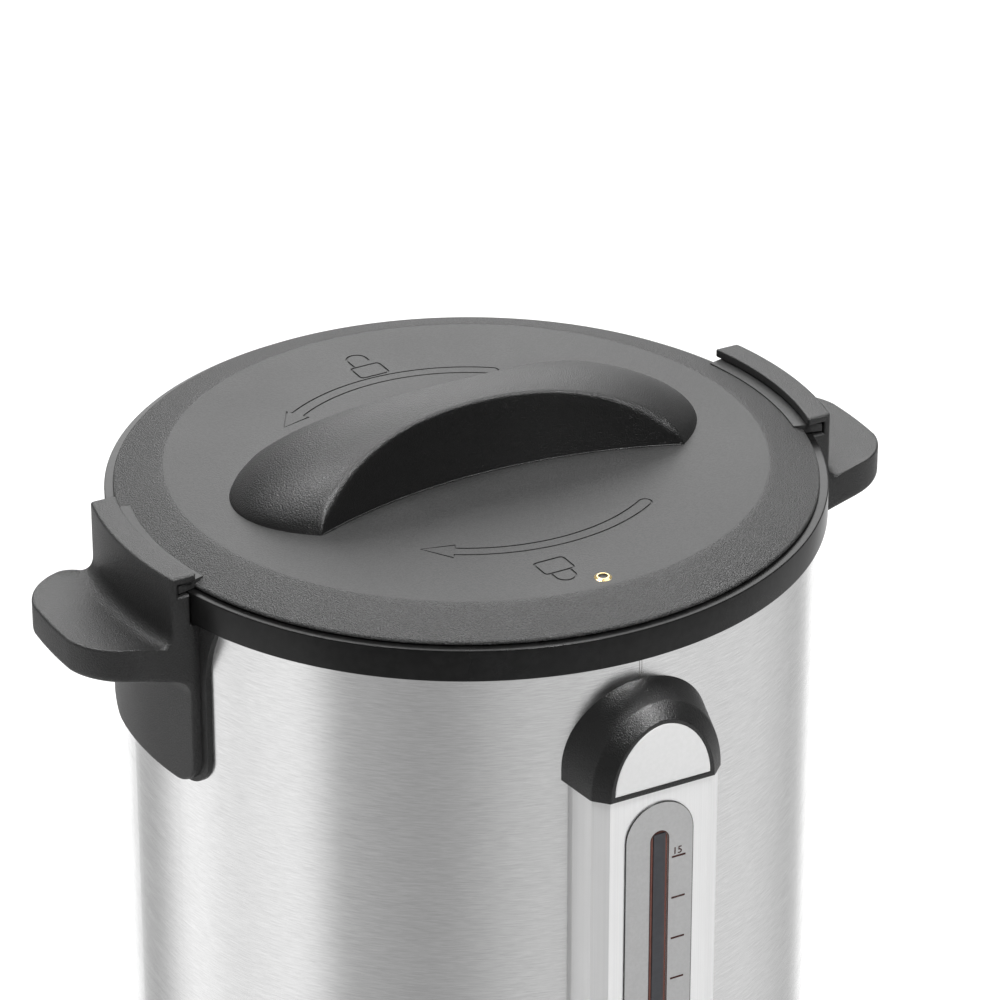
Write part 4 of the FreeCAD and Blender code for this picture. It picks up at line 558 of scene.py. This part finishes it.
ROUND_LINES = (5.0, 5.0, 1500.0)
SHELL_LINES = (140.0, 140.0, 2500.0)
UPRIGHT_LINES = (1400.0, 60.0, 3.0)
ANY_LINES = (400.0, 400.0, 400.0)
SOFT_LINES = (60.0, 60.0, 60.0)
WARM = (1.0, 0.97, 0.93)
RESIN = (1, 0.8, 0.65)
OXIDE = (1, 0.3, 0.25)
BROWN = (1, 0.42, 0.33)
SMOKE = (0.9, 0.95, 1.15)
FINISHES = {
    "black_base": plastic("spark-eroded black base", grey(0.004), grey(0.012), 0.45),
    "galvanised": metal("galvanised sheet", grey(0.42), grey(0.58), 0.45, ANY_LINES),
    "screw_steel": metal("zinc plated screw", grey(0.55), grey(0.72), 0.28, ANY_LINES),
    "rubber_feet": plastic("black rubber foot", grey(0.012), grey(0.022), 0.75, 500.0, 0.03),
    "brushed_shell": metal("brushed steel shell", grey(0.6), grey(0.76), 0.18, SHELL_LINES, 0.008),
    "tank_steel": metal("satin steel tank", grey(0.55), grey(0.7), 0.3, ROUND_LINES),
    "black_gloss": plastic("semi-gloss black rim", grey(0.002), grey(0.005), 0.22, 300.0, 0.01, 0.24),
    "black_handle": plastic("grained black handle", grey(0.003), grey(0.012), 0.38, 1600.0, 0.1, 0.55),
    "black_lid": plastic("grained black lid", grey(0.004), grey(0.02), 0.45, 1600.0, 0.03),
    "black_arch": plastic("grained black lid handle", grey(0.001), grey(0.004), 0.3, 1600.0, 0.08),
    "seal_rubber": plastic("translucent silicone seal", grey(0.45, WARM), grey(0.55, WARM), 0.6, 300.0, 0.02),
    "brass_eyelet": metal("brass eyelet", grey(0.62, (1, 0.74, 0.34)), grey(0.8, (1, 0.8, 0.42)), 0.22,
                          ANY_LINES),
    "column_steel": metal("bright steel column", grey(0.79), grey(0.86), 0.3, UPRIGHT_LINES, 0.002, 0.85),
    "scale_grey": plastic("satin grey scale plate", grey(0.235), grey(0.255), 0.4, 700.0, 0.01),
    "black_cap": plastic("smooth black plastic", grey(0.004), grey(0.008), 0.32, 300.0, 0.01),
    "plate_silver": plastic("silver plate", grey(0.42), grey(0.44), 0.35, 500.0, 0.005),
    "black_hood": plastic("grained black hood", grey(0.002), grey(0.006), 0.26, 1600.0, 0.08, 0.6),
    "tap_chrome": metal("polished chrome tap", grey(0.74), grey(0.8), 0.08, ANY_LINES, 0.001),
    "nut_steel": metal("turned steel nut", grey(0.5), grey(0.66), 0.3, ANY_LINES),
    "stem_steel": metal("turned steel stem", grey(0.55), grey(0.7), 0.22, ROUND_LINES, 0.004),
    "spring_steel": metal("drawn spring wire", grey(0.45), grey(0.6), 0.3, ANY_LINES),
    "black_lever": plastic("semi-gloss black lever", grey(0.01), grey(0.02), 0.25, 400.0, 0.01),
    "rocker_red": plastic("red rocker", grey(0.5, (1, 0.05, 0.04)), grey(0.58, (1, 0.07, 0.05)), 0.22,
                          300.0, 0.005),
    "lamp_amber": plastic("amber lens", grey(0.8, (1, 0.4, 0.05)), grey(0.85, (1, 0.45, 0.07)), 0.12,
                          200.0, 0.004),
    "lamp_green": plastic("green lens", grey(0.4, (0.15, 1, 0.3)), grey(0.46, (0.17, 1, 0.32)), 0.12,
                          200.0, 0.004),
    "blade_brass": metal("plated blade", grey(0.7, WARM), grey(0.8, WARM), 0.25, ANY_LINES),
    "plate_aluminium": metal("cast aluminium plate", grey(0.6), grey(0.72), 0.4, ANY_LINES, 0.05),
    "element_steel": metal("heat-tinted element", grey(0.28, WARM), grey(0.42, WARM), 0.38, SOFT_LINES),
    "thermostat_body": plastic("brown resin body", grey(0.08, RESIN), grey(0.1, RESIN), 0.45),
    "terminal_cream": plastic("cream terminal block", grey(0.7, (1, 0.94, 0.8)), grey(0.78, (1, 0.95, 0.83)),
                              0.4),
    "washer_steel": metal("stamped washer", grey(0.6), grey(0.7), 0.3, ROUND_LINES),
    "tube_glass": glass(),
}
# The coarse band: real coarse grain, its pebbles made paler to stand as painted glints, which also lighten
# the band as if lit.
COARSE_GRAIN_AND_GLINTS = plastic("coarse black lid band with painted glints", grey(0.002), grey(0.035), 0.4, 1600.0, 0.24)
PRINT_RED = plastic("red-brown print", grey(0.03, OXIDE), grey(0.04, OXIDE), 0.6, 500.0, 0.0, 0.2)
EDGE_BROWN = plastic("brown slot edge", grey(0.1, BROWN), grey(0.12, BROWN), 0.6, 500.0, 0.0, 0.2)
SMOKY = plastic("smoky gauge window", grey(0.018, SMOKE), grey(0.024, SMOKE), 0.3, 400.0, 0.0)


def dress_nodes():
    """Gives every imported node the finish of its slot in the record."""
    for part in frame["record"]["subparts"]:
        mesh = NODES[part["node"]].data
        mesh.materials.clear()
        mesh.materials.append(FINISHES[part["material_slot"]])


# The lid


def turning_arrow(middle, tail, tip):
    """An arrow bent round the axis: an even shaft with a round tail, and a pointed head."""
    way = np.sign(tip - tail)
    neck = tip - way * ARROW_HEAD_ANGLE
    half = ARROW_HALF
    shaft = np.linspace(tail + way * np.degrees(half / middle), neck, 40)
    turn = np.radians(np.linspace(-90, 90, 11))[1:-1]
    end = polar(middle + half * np.sin(turn), shaft[0] - way * np.degrees(half * np.cos(turn) / middle))
    across = np.array([middle + ARROW_HEAD_HALF, middle, middle - ARROW_HEAD_HALF])
    head = polar(across, np.array([neck, tip, neck]))
    return np.concatenate([end, polar(middle + half, shaft), head, polar(middle - half, shaft)[::-1]])


def placed(path, radius, degrees, turn):
    """A small flat drawing set down at a radius and angle, and turned."""
    angle = np.radians(turn)
    path = np.asarray(path, float)
    spun = path @ np.array([[np.cos(angle), np.sin(angle)], [-np.sin(angle), np.cos(angle)]])
    return spun + polar(radius, degrees)


def padlock(opened):
    """Outlines of a padlock: a body with round corners, and a shackle that stands open or shut."""
    corners = [(-LOCK_HALF, LOCK_FOOT), (LOCK_HALF, LOCK_FOOT), (LOCK_HALF, LOCK_TOP), (-LOCK_HALF, LOCK_TOP)]
    body = soft_corners(corners, [LOCK_CORNER] * 4)
    lift = OPEN_LIFT if opened else 0.0
    foot = OPEN_FOOT if opened else BOW_FOOT
    bow = polar(BOW_RADIUS, np.linspace(180, 0, 15)) + (0, BOW_CENTRE + lift)
    return body, np.concatenate([[(-BOW_RADIUS, BOW_FOOT)], bow, [(BOW_RADIUS, foot)]])


def lid_marks():
    """Cutting tools of the turning marks: an open padlock and its arrow at the back, a shut pair in front.

    A padlock is placed by radius, angle and turn, and an arrow by radius and the angles of its tail and tip.
    """
    low, high = PLATEAU - MARK_DEPTH, PLATEAU + MARK_TOOL_TOP
    back = (True, (90.0, 89.0, 1.0), (77.8, 52.0, 132.5))
    front = (False, (101.0, -98.0, 181.0), (80.6, -56.0, -131.0))
    pieces = []
    for opened, spot, arrow in (back, front):
        body, shackle = padlock(opened)
        pieces.append(ribbon(placed(body, *spot), LOCK_LINE, low, high))
        pieces.append(ribbon(placed(shackle, *spot), LOCK_LINE, low, high, False))
        pieces.append(ribbon(turning_arrow(*arrow), ARROW_LINE, low, high))
    return joined(*pieces)


def lid():
    """The lid's shell: a lathe profile of flat top, cone band, edge and tank skirt, with the marks cut in.

    The faces of the cone band and the edge have the coarse grain, whose paler pebbles are partly painted
    glints.
    """
    corners = [(LID_HUB, PLATEAU_UNDER), (PLATEAU_RADIUS, PLATEAU_UNDER), (SKIRT_INSIDE, SKIRT_INNER_TOP),
               (SKIRT_INSIDE, SKIRT_FOOT), (SKIRT_OUTSIDE, SKIRT_FOOT), (SKIRT_OUTSIDE, SKIRT_OUTER_TOP),
               (CONE_UNDER_RADIUS, LID_SEAT), (LID_RADIUS, LID_SEAT), (LID_RADIUS, LID_EDGE),
               (PLATEAU_RADIUS, PLATEAU), (LID_HUB, PLATEAU)]
    cuts = [0.01, 0.01, 0.01, 0.3, 0.3, 0.01, 0.01, 0.3, 0.9, 2.2, 0.01]
    material = FINISHES["black_lid"]
    shell = new_piece("lid_form", *lathe(soft_corners(corners, cuts)[2:-2]), material)
    carve(shell, new_piece("mark_tool", *lid_marks(), material))
    shell.data.materials.append(COARSE_GRAIN_AND_GLINTS)
    # Faces past the plateau take the coarse grain with its painted glints.
    for face in shell.data.polygons:
        face.material_index = int(face.center.xy.length > GRAIN_AND_GLINTS_FROM * MM)
    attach(shell, "lid")
    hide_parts("lid_shell")


def tabs():
    """The two tabs that turn under the hooks: a soft-cornered section carried along an arc about the axis."""
    low = RING_TOP + TAB_GAP
    corners = [(TAB_INSIDE, low), (TAB_OUTSIDE, low), (TAB_OUTSIDE, TAB_TOP),
               (TAB_INSIDE, TAB_TOP + TAB_SLOPE)]
    radius, height = soft_corners(corners, [0.3, 0.3, 0.6, 0.2], 4).T
    for name, middle in (("tab_right", 0.0), ("tab_left", 180.0)):
        turn = np.radians(middle + np.linspace(-TAB_HALF_ANGLE, TAB_HALF_ANGLE, 25))[:, None]
        rings = np.stack([radius * np.cos(turn), radius * np.sin(turn), height + 0 * turn], -1)
        new_piece(name, *tube(rings), FINISHES["black_lid"], "lid", "black_lid")


# The lid's handle


def dome(x, y):
    """Height of the handle's crown: rise times (1 - rho^2.22)^0.7, with rho 1 on the outline's ellipse."""
    rho = np.sqrt((x / ARCH_LENGTH) ** 2 + (y / ARCH_FOOT) ** 2)
    return ARCH_RISE * np.clip(1 - rho ** 2.22, 0, 1) ** 0.7


def both_sides(half, sign):
    """Rings from half rings that start in the middle: the other half follows, mirrored by the sign."""
    return np.concatenate([half, sign * half[:, :0:-1]], 1)


def arch():
    """The lid's handle, as sections across its length.

    Each section follows the dome out from the middle to the crease, rounds it with a parabola, and comes
    down the flank. A flank is part of a cone: its foot is an arc in plan that is nearest to the middle at
    the waist, and it leans in by a fifth of its height. Near the ends the flanks run out and the dome reaches
    the lid by itself. The crease, where dome and flank meet, is found step by step, each step going half of
    the way to the next guess.
    """
    share = np.sin(np.linspace(-1, 1, 181) * np.pi / 2)[:, None]
    x = np.clip(share, -0.9999, 0.9999) * ARCH_LENGTH
    outline = ARCH_FOOT * np.sqrt(1 - (x / ARCH_LENGTH) ** 2)
    foot = np.minimum(ARCH_WAIST + ARCH_SCOOP - np.sqrt(ARCH_SCOOP ** 2 - x ** 2), outline)
    crease = foot
    for _ in range(CREASE_STEPS):
        crease = 0.5 * crease + 0.5 * np.clip(foot - ARCH_LEAN * dome(x, crease), 0.0, outline)
    high = dome(x, crease)
    more = np.clip((np.abs(x) - ARCH_CREASE_FROM) / ARCH_CREASE_RUN, 0, 1) ** 2
    soft = np.minimum(ARCH_CREASE + ARCH_CREASE_MORE * more, 0.4 * high)
    soft = np.minimum(soft, 0.5 * crease)
    start = crease - soft * 0.9
    crown_y = start * np.linspace(0, 1, 15)
    crown_z = dome(x, crown_y)
    t = np.linspace(0, 1, 10)[1:]
    bend_y = bent(start, crease, crease + ARCH_LEAN * soft, t)
    bend_z = bent(crown_z[:, -1:], high, high - soft, t)
    fall = np.linspace(1, 0, 7)[1:]
    lip = np.minimum(ARCH_LIP, 0.1 * high)
    flank_z = lip * 1.2 + (high - soft - lip * 1.2) * fall
    flank_y = foot - ARCH_LEAN * flank_z
    lip_y = foot + lip * np.array([0.3, 0.8, 1.0, 1.0, 0.8])
    lip_z = lip * np.array([1.15, 1.0, 0.7, 0.0, -0.3])
    ring_y = both_sides(np.concatenate([crown_y, bend_y, flank_y, lip_y], 1), -1)
    ring_z = both_sides(np.concatenate([crown_z, bend_z, flank_z, lip_z], 1), 1)
    rings = np.stack([x + 0 * ring_y, ring_y, ring_z + PLATEAU], -1)
    thing = new_piece("arch_form", *tube(rings), FINISHES["black_arch"], "lid", "black_arch", 60)
    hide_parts("lid_handle")


# The side handles


def handle_outline(reach, depth, shrink):
    """Sections of a side handle as (radius, height over the ring's foot), for arrays of reach and depth."""
    none = 0 * reach
    corners = [(HOOK_TIP, HOOK_TOP), (HOOK_TIP, HOOK_UNDER), (POCKET_WALL, HOOK_UNDER),
               (POCKET_WALL, POCKET_FLOOR), (RING_GAP_WALL, POCKET_FLOOR), (RING_GAP_WALL, RING_GAP_FOOT),
               (SHIELD_BACK, RING_GAP_FOOT), (SHIELD_BACK, -depth), (SHIELD_FACE, -depth),
               (SHIELD_FACE, GRIP_ROOT), (reach, GRIP_UNDER), (reach, GRIP_TOP), (WALL_FACE, WALL_FOOT),
               (WALL_FACE, HOOK_TOP)]
    cuts = np.array([0.7, 0.5, 0.4, 0.4, 0.3, 0.3, 0.1, 0.3, 1.4, 6.5, 2.6, 1.3, 7.0, 1.2])
    points = np.stack([np.stack([none + a, none + b], -1) for a, b in corners], -2)
    return soft_corners(mitred(points, shrink[:, None, None]), cuts * (1 - 0.4 * shrink[:, None]), 7)


def side_handles():
    """Hook, wall, grip and shield as one skin: sections along Y, drawn in at both ends to round them.

    A point of a section at a radius and a Y stands at x = sqrt(radius^2 - y^2), so that the walls are round
    about the axis. So is the grip's end, but for its round corners.
    """
    flat = HANDLE_HALF - HANDLE_EASE
    turn = np.linspace(0, np.pi / 2, 6)
    run = np.concatenate([np.linspace(0, 14, 5), np.linspace(16, flat, 18)[:-1]])
    y = np.concatenate([run, flat + HANDLE_EASE * np.sin(turn)])
    shrink = np.concatenate([0 * run, HANDLE_EASE * (1 - np.cos(turn))])
    y, shrink = np.concatenate([-y[:0:-1], y]), np.concatenate([shrink[:0:-1], shrink])
    end = GRIP_REACH - fall_back(np.abs(y) - (HANDLE_HALF - GRIP_CORNER), GRIP_CORNER)
    reach = np.minimum(GRIP_REACH, np.hypot(end, y))
    depth = SHIELD_DEPTH - fall_back(np.abs(y) - (HANDLE_HALF - SHIELD_CORNER), SHIELD_CORNER)
    outline = handle_outline(reach, depth, shrink)
    radius, height = outline[..., 0], outline[..., 1]
    across = y[:, None] + 0 * radius
    x = np.sqrt(radius ** 2 - across ** 2)
    for name, sign in (("right", 1), ("left", -1)):
        rings = np.stack([sign * x, across, height + RING_FOOT], -1)
        thing = new_piece("handle_" + name, *tube(rings), FINISHES["black_handle"], "urn", "black_handle", 40)
        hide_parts("side_handle_" + name)
        backing(name, sign)


def backing(name, sign):
    """The thin plate behind a handle, bent about the axis: x = sqrt(radius^2 - y^2).

    It has straight sides that flare under the ring, and round lower corners.
    """
    corner = SHIELD_CORNER * (1 - np.cos(np.linspace(0, np.pi / 2, 12)))
    z = np.concatenate([corner - SHIELD_DEPTH, np.linspace(BACKING_SIDE_FOOT, BACKING_TOP, 24)])
    flare = FLARE * np.clip((z + FLARE_HEIGHT) / FLARE_HEIGHT, 0, 1) ** 1.8
    wide = BACKING_HALF - fall_back(SHIELD_CORNER - SHIELD_DEPTH - z, SHIELD_CORNER) + flare
    t = np.linspace(-1, 1, 21)
    around = np.concatenate([t, t[::-1]])
    radius = np.repeat([BACKING_FACE, BACKING_BACK], len(t))
    y = wide[:, None] * around
    x = np.sqrt(radius ** 2 - y ** 2)
    rings = np.stack([sign * x, y, z[:, None] + RING_FOOT + 0 * y], -1)
    new_piece("backing_" + name, *tube(rings), FINISHES["black_handle"], "urn", "black_handle")


# The rim, the gauge's hood and the scale


def rim():
    """The ring round the rim: a lathe profile with soft corners."""
    corners = [(RING_RADIUS, RING_FOOT), (RING_RADIUS, RING_TOP), (RING_INSIDE, RING_TOP),
               (RING_INSIDE, RING_TOP - RING_LIP), (RING_SEAT, RING_TOP - RING_LIP), (RING_SEAT, RING_FOOT)]
    profile = soft_corners(corners, [0.5, 0.5, 0.4, 0.2, 0.2, 0.2], 6)
    thing = new_piece("rim_form", *lathe(profile, True), FINISHES["black_gloss"], "urn", "black_gloss")
    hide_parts("rim_ring")


def arch_loop(*sizes):
    """Arches over straight skirts, as (across, height), anticlockwise, one for each row of the sizes.

    The sizes are arrays of half widths, centres, rises, floors and falls. An arch is across = half
    cos(t)^fall, height = centre + rise sin(t)^fall: an ellipse when fall is 1, and a little inside it when
    fall is more.
    """
    half, centre, rise, low, fall = (np.asarray(size, float)[:, None] for size in sizes)
    turn = np.linspace(0, np.pi, 41)
    bend = np.sign(np.cos(turn)) * np.abs(np.cos(turn)) ** fall
    lift = np.clip(np.sin(turn), 0, 1) ** fall
    skirt = np.linspace(0, 1, 5)[:-1]
    along = np.linspace(-1, 1, 13)[1:-1]
    a = np.concatenate([half + 0 * skirt, half * bend, -half + 0 * skirt, half * along], 1)
    b = np.concatenate([low + (centre - low) * skirt, centre + rise * lift,
                        centre - (centre - low) * (skirt + skirt[1]), low + 0 * along], 1)
    return a, b


def hood():
    """The hood over the gauge: a half circle at the back, a crease on half an ellipse, and a flat face.

    Each row of the table is one outline: distance from the axis, half width, centre, rise, floor and fall.
    The last two rows only lead the rounding on, and their points are left out.
    """
    table = [(136.0, 32.4, -43.0, 32.4, -48.4, 1.0), (152.8, 28.8, -49.8, 35.4, -50.1, 1.0),
             (HOOD_FACE, 22.9, -50.3, 30.3, -50.6, 1.05), (HOOD_FACE, 20.95, -48.0, 26.35, -48.3, 1.06),
             (157.0, 20.95, -48.0, 26.35, -48.3, 1.06), (157.0, 1.0, -46.0, 1.0, -46.3, 1.0),
             (128.0, 1.0, -46.0, 1.0, -46.3, 1.0)]
    count = 7
    path = soft_corners(table, [0.01, 0.9, 0.5, 0.25, 0.01, 0.01, 0.01], count)[:-2 * count]
    a, b = arch_loop(*path[:, 1:].T)
    y = np.minimum(-path[:, :1] + 0 * a, -np.sqrt((SHELL_RADIUS - HOOD_SINK) ** 2 - a ** 2))
    rings = np.stack([a, y, b + RING_FOOT], -1)
    thing = new_piece("hood_form", *tube(rings), FINISHES["black_hood"], "urn", "black_hood")
    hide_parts("sight_hood")


def hood_badge():
    """The bare plate in the hood's face: a low arch, eased in at its front edge."""
    ease = np.array([0.0, 0.0, 0.3, 0.7])
    a, b = arch_loop(BADGE_HALF - ease, BADGE_CENTRE + ease, BADGE_RISE - 2 * ease, BADGE_FLOOR + ease,
                     BADGE_FALL + 0 * ease)
    y = -(HOOD_FACE + np.array(BADGE_STEPS))[:, None] + 0 * a
    rings = np.stack([a, y, b + RING_FOOT], -1)
    thing = new_piece("hood_badge", *tube(rings), FINISHES["plate_silver"], "urn", "plate_silver")
    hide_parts("hood_plate")


def slab(x, z, thick):
    """A thin plate between two limits across and two heights.

    Its face stands out of the scale by a thickness, and lies behind the scale's face where that is under 0.
    """
    return tube(np.array([[(x[0], y, z[0]), (x[1], y, z[0]), (x[1], y, z[1]), (x[0], y, z[1])]
                          for y in (-SCALE_FACE - thick, -SCALE_FACE + PRINT_SINK)], float))


def number(text, x, z):
    """A plain number as raised print on the scale."""
    curve = bpy.data.curves.new("number", "FONT")
    curve.body = text
    curve.size = NUMBER_SIZE
    curve.extrude = NUMBER_THICK
    holder = in_scene("number", curve)
    mesh = settled(holder)
    spots = np.zeros(len(mesh.vertices) * 3)
    mesh.vertices.foreach_get("co", spots)
    across, up, out = spots.reshape(-1, 3).T
    faces = [list(face.vertices) for face in mesh.polygons]
    bpy.data.objects.remove(holder)
    bpy.data.meshes.remove(mesh)
    return np.stack([across + x, -SCALE_FACE - PRINT_SINK - out, up + z], -1), faces


def scale_line(name, ends, material, radius, half, low, high):
    """A line round a slot's shape between two heights, from low to high outside the scale's face."""
    bend = polar(radius, np.linspace(0, 180, 25))
    loop = np.concatenate([bend + (0, ends[1]), -bend + (0, ends[0])])
    points, faces = ribbon(loop, half, low, high)
    points = np.stack([points[:, 0], -SCALE_FACE - points[:, 2], points[:, 1]], -1)
    new_piece(name, points, faces, material, "urn", "scale_grey")


def scale_print():
    """The litre marks and plain numbers, the slot's line and brown edge, its window, and a painted shadow
    line round the plate.
    """
    marks = []
    for litre in range(FIRST_LITRE, LAST_LITRE + 1):
        level = RING_FOOT - LAST_MARK - LITRE_STEP * (LAST_LITRE - litre)
        marks.append(slab((MARK_LEFT, MARK_RIGHT), (level - MARK_HALF, level + MARK_HALF), MARK_THICK))
        if litre % NUMBERED == 0:
            marks.append(number(str(litre), NUMBER_LEFT, level + NUMBER_LIFT))
    new_piece("litre_marks", *joined(*marks), PRINT_RED, "urn", "scale_grey")
    slot = (SLOT_FOOT, SLOT_TOP)
    scale_line("slot_line", slot, PRINT_RED, radius=4.0, half=0.18, low=0.0, high=0.1)
    scale_line("slot_edge", slot, EDGE_BROWN, radius=3.2, half=0.7, low=-0.8, high=-0.62)
    height = (SLOT_FOOT - WINDOW_HALF, SLOT_TOP + WINDOW_HALF)
    window = slab((-WINDOW_HALF, WINDOW_HALF), height, -WINDOW_SINK)
    new_piece("gauge_window", *window, SMOKY, "urn", "tube_glass")
    plate = (PLATE_FOOT, PLATE_TOP)
    # A thin black line round the plate: painted shadow where the gap at the plate's edge is in shade.
    scale_line("plate_shadow_line", plate, FINISHES["black_cap"], radius=14.9, half=0.12, low=-0.5, high=0.02)


def seam():
    """The shell's vertical seam in front: two fine dark lines from the base to the ring."""
    section = [(0.0, -SEAM_IN), (SEAM_WIDTH, -SEAM_IN), (SEAM_WIDTH, SEAM_OUT), (0.0, SEAM_OUT)]
    for name, x in SEAM_PLACES:
        rings = [[(x + across, -SHELL_RADIUS - out, z) for across, out in section]
                 for z in (SEAM_FOOT, RING_FOOT + SEAM_OVER)]
        new_piece(name, *tube(np.array(rings)), FINISHES["element_steel"], "urn", "brushed_shell")


def spring():
    """The tap's closing spring, which the stem presses against the end above: a copy of the imported coil,
    riding on the urn.
    """
    coil = in_scene("spring_coil", NODES["tap_spring"].data.copy())
    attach(coil, "urn")
    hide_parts("tap_spring")
    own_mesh(coil)


# The studio


def studio():
    """A surround that the camera sees as white and that lights as an even grey.

    A mirroring surface sees upright bands of tone far below the horizon, placed by their angle about the axis
    from 0 to 1, and above them a sky that brightens from the front to the back.
    """
    bands = [(0.0, 1.24), (0.014, 1.26), (0.03, 1.12), (0.044, 0.72), (0.054, 0.56), (0.092, 0.52),
             (0.13, 0.46), (0.165, 0.5), (0.201, 0.67), (0.237, 0.79), (0.265, 0.77), (0.33, 1.0),
             (0.42, 0.93), (0.47, 0.93), (0.5, 0.84), (0.53, 0.73), (0.552, 0.6), (0.585, 0.73), (0.61, 1.4),
             (0.75, 1.43), (0.766, 0.62), (0.8, 0.52), (0.826, 0.6), (0.863, 1.28), (0.894, 1.36),
             (0.922, 1.12), (0.947, 1.08), (0.971, 1.17), (1.0, 1.24)]
    world = bpy.data.worlds.new("studio")
    bpy.context.scene.world = world
    world.use_nodes = True
    tree = world.node_tree
    way = wire(tree, "SeparateXYZ", (0, wire(tree, "TexCoord").outputs["Generated"])).outputs
    share = spread(tree, sums(tree, "ARCTAN2", way[Y], way[X]), -math.pi, math.pi)
    ramp = wire(tree, "ValToRGB", (0, share))
    stops = ramp.color_ramp.elements
    while len(stops) < len(bands):
        stops.new(0.5)
    for stop, (place, level) in zip(stops, bands):
        stop.position = place
        stop.color = grey(level)
    sky = spread(tree, way[Y], -SKY_REACH, SKY_REACH, ("To Min", SKY_FRONT), ("To Max", SKY_BACK))
    mirrored = blend(tree, spread(tree, way[Z], BANDS_TOP, SKY_FOOT), ramp.outputs["Color"], sky)
    path = wire(tree, "LightPath").outputs
    lit = blend(tree, path["Is Glossy Ray"], grey(LIT_GREY), mirrored)
    seen = blend(tree, path["Is Camera Ray"], lit, WHITE)
    tree.links.new(seen, tree.nodes["Background"].inputs["Color"])
    bpy.context.scene.view_settings.view_transform = "Standard"


def floor():
    """A pale floor: white to the camera but for the urn's shadow, and left out of what metal mirrors."""
    edge = polar(FLOOR_RADIUS, np.linspace(0, 360, 96, endpoint=False))
    top = np.c_[edge, np.full(len(edge), -FLOOR_GAP)]
    ground = tube(np.stack([top, top - (0, 0, FLOOR_THICK)]))
    material, tree, shader = new_material("pale floor")
    shader.inputs["Base Color"].default_value = (0.8, 0.8, 0.8, 1)
    shader.inputs["Roughness"].default_value = 0.9
    path = wire(tree, "LightPath").outputs
    glow = wire(tree, "Emission", ("Color", WHITE), ("Strength", FLOOR_GLOW)).outputs[0]
    dimmed = wire(tree, "MixShader", (0, FLOOR_DIM), (1, shader.outputs[0])).outputs[0]
    shown = wire(tree, "AddShader", (0, glow), (1, dimmed)).outputs[0]
    seen = wire(tree, "MixShader", (0, path["Is Camera Ray"]), (1, shader.outputs[0]), (2, shown)).outputs[0]
    clear = wire(tree, "BsdfTransparent").outputs[0]
    last = wire(tree, "MixShader", (0, path["Is Glossy Ray"]), (1, seen), (2, clear)).outputs[0]
    tree.links.new(last, tree.nodes["Material Output"].inputs["Surface"])
    new_piece("floor", *ground, material)


camera()
for values in LAMPS:
    lamp(*values)
studio()
floor()
dress_nodes()
lid()
tabs()
arch()
side_handles()
rim()
hood()
hood_badge()
scale_print()
seam()
spring()
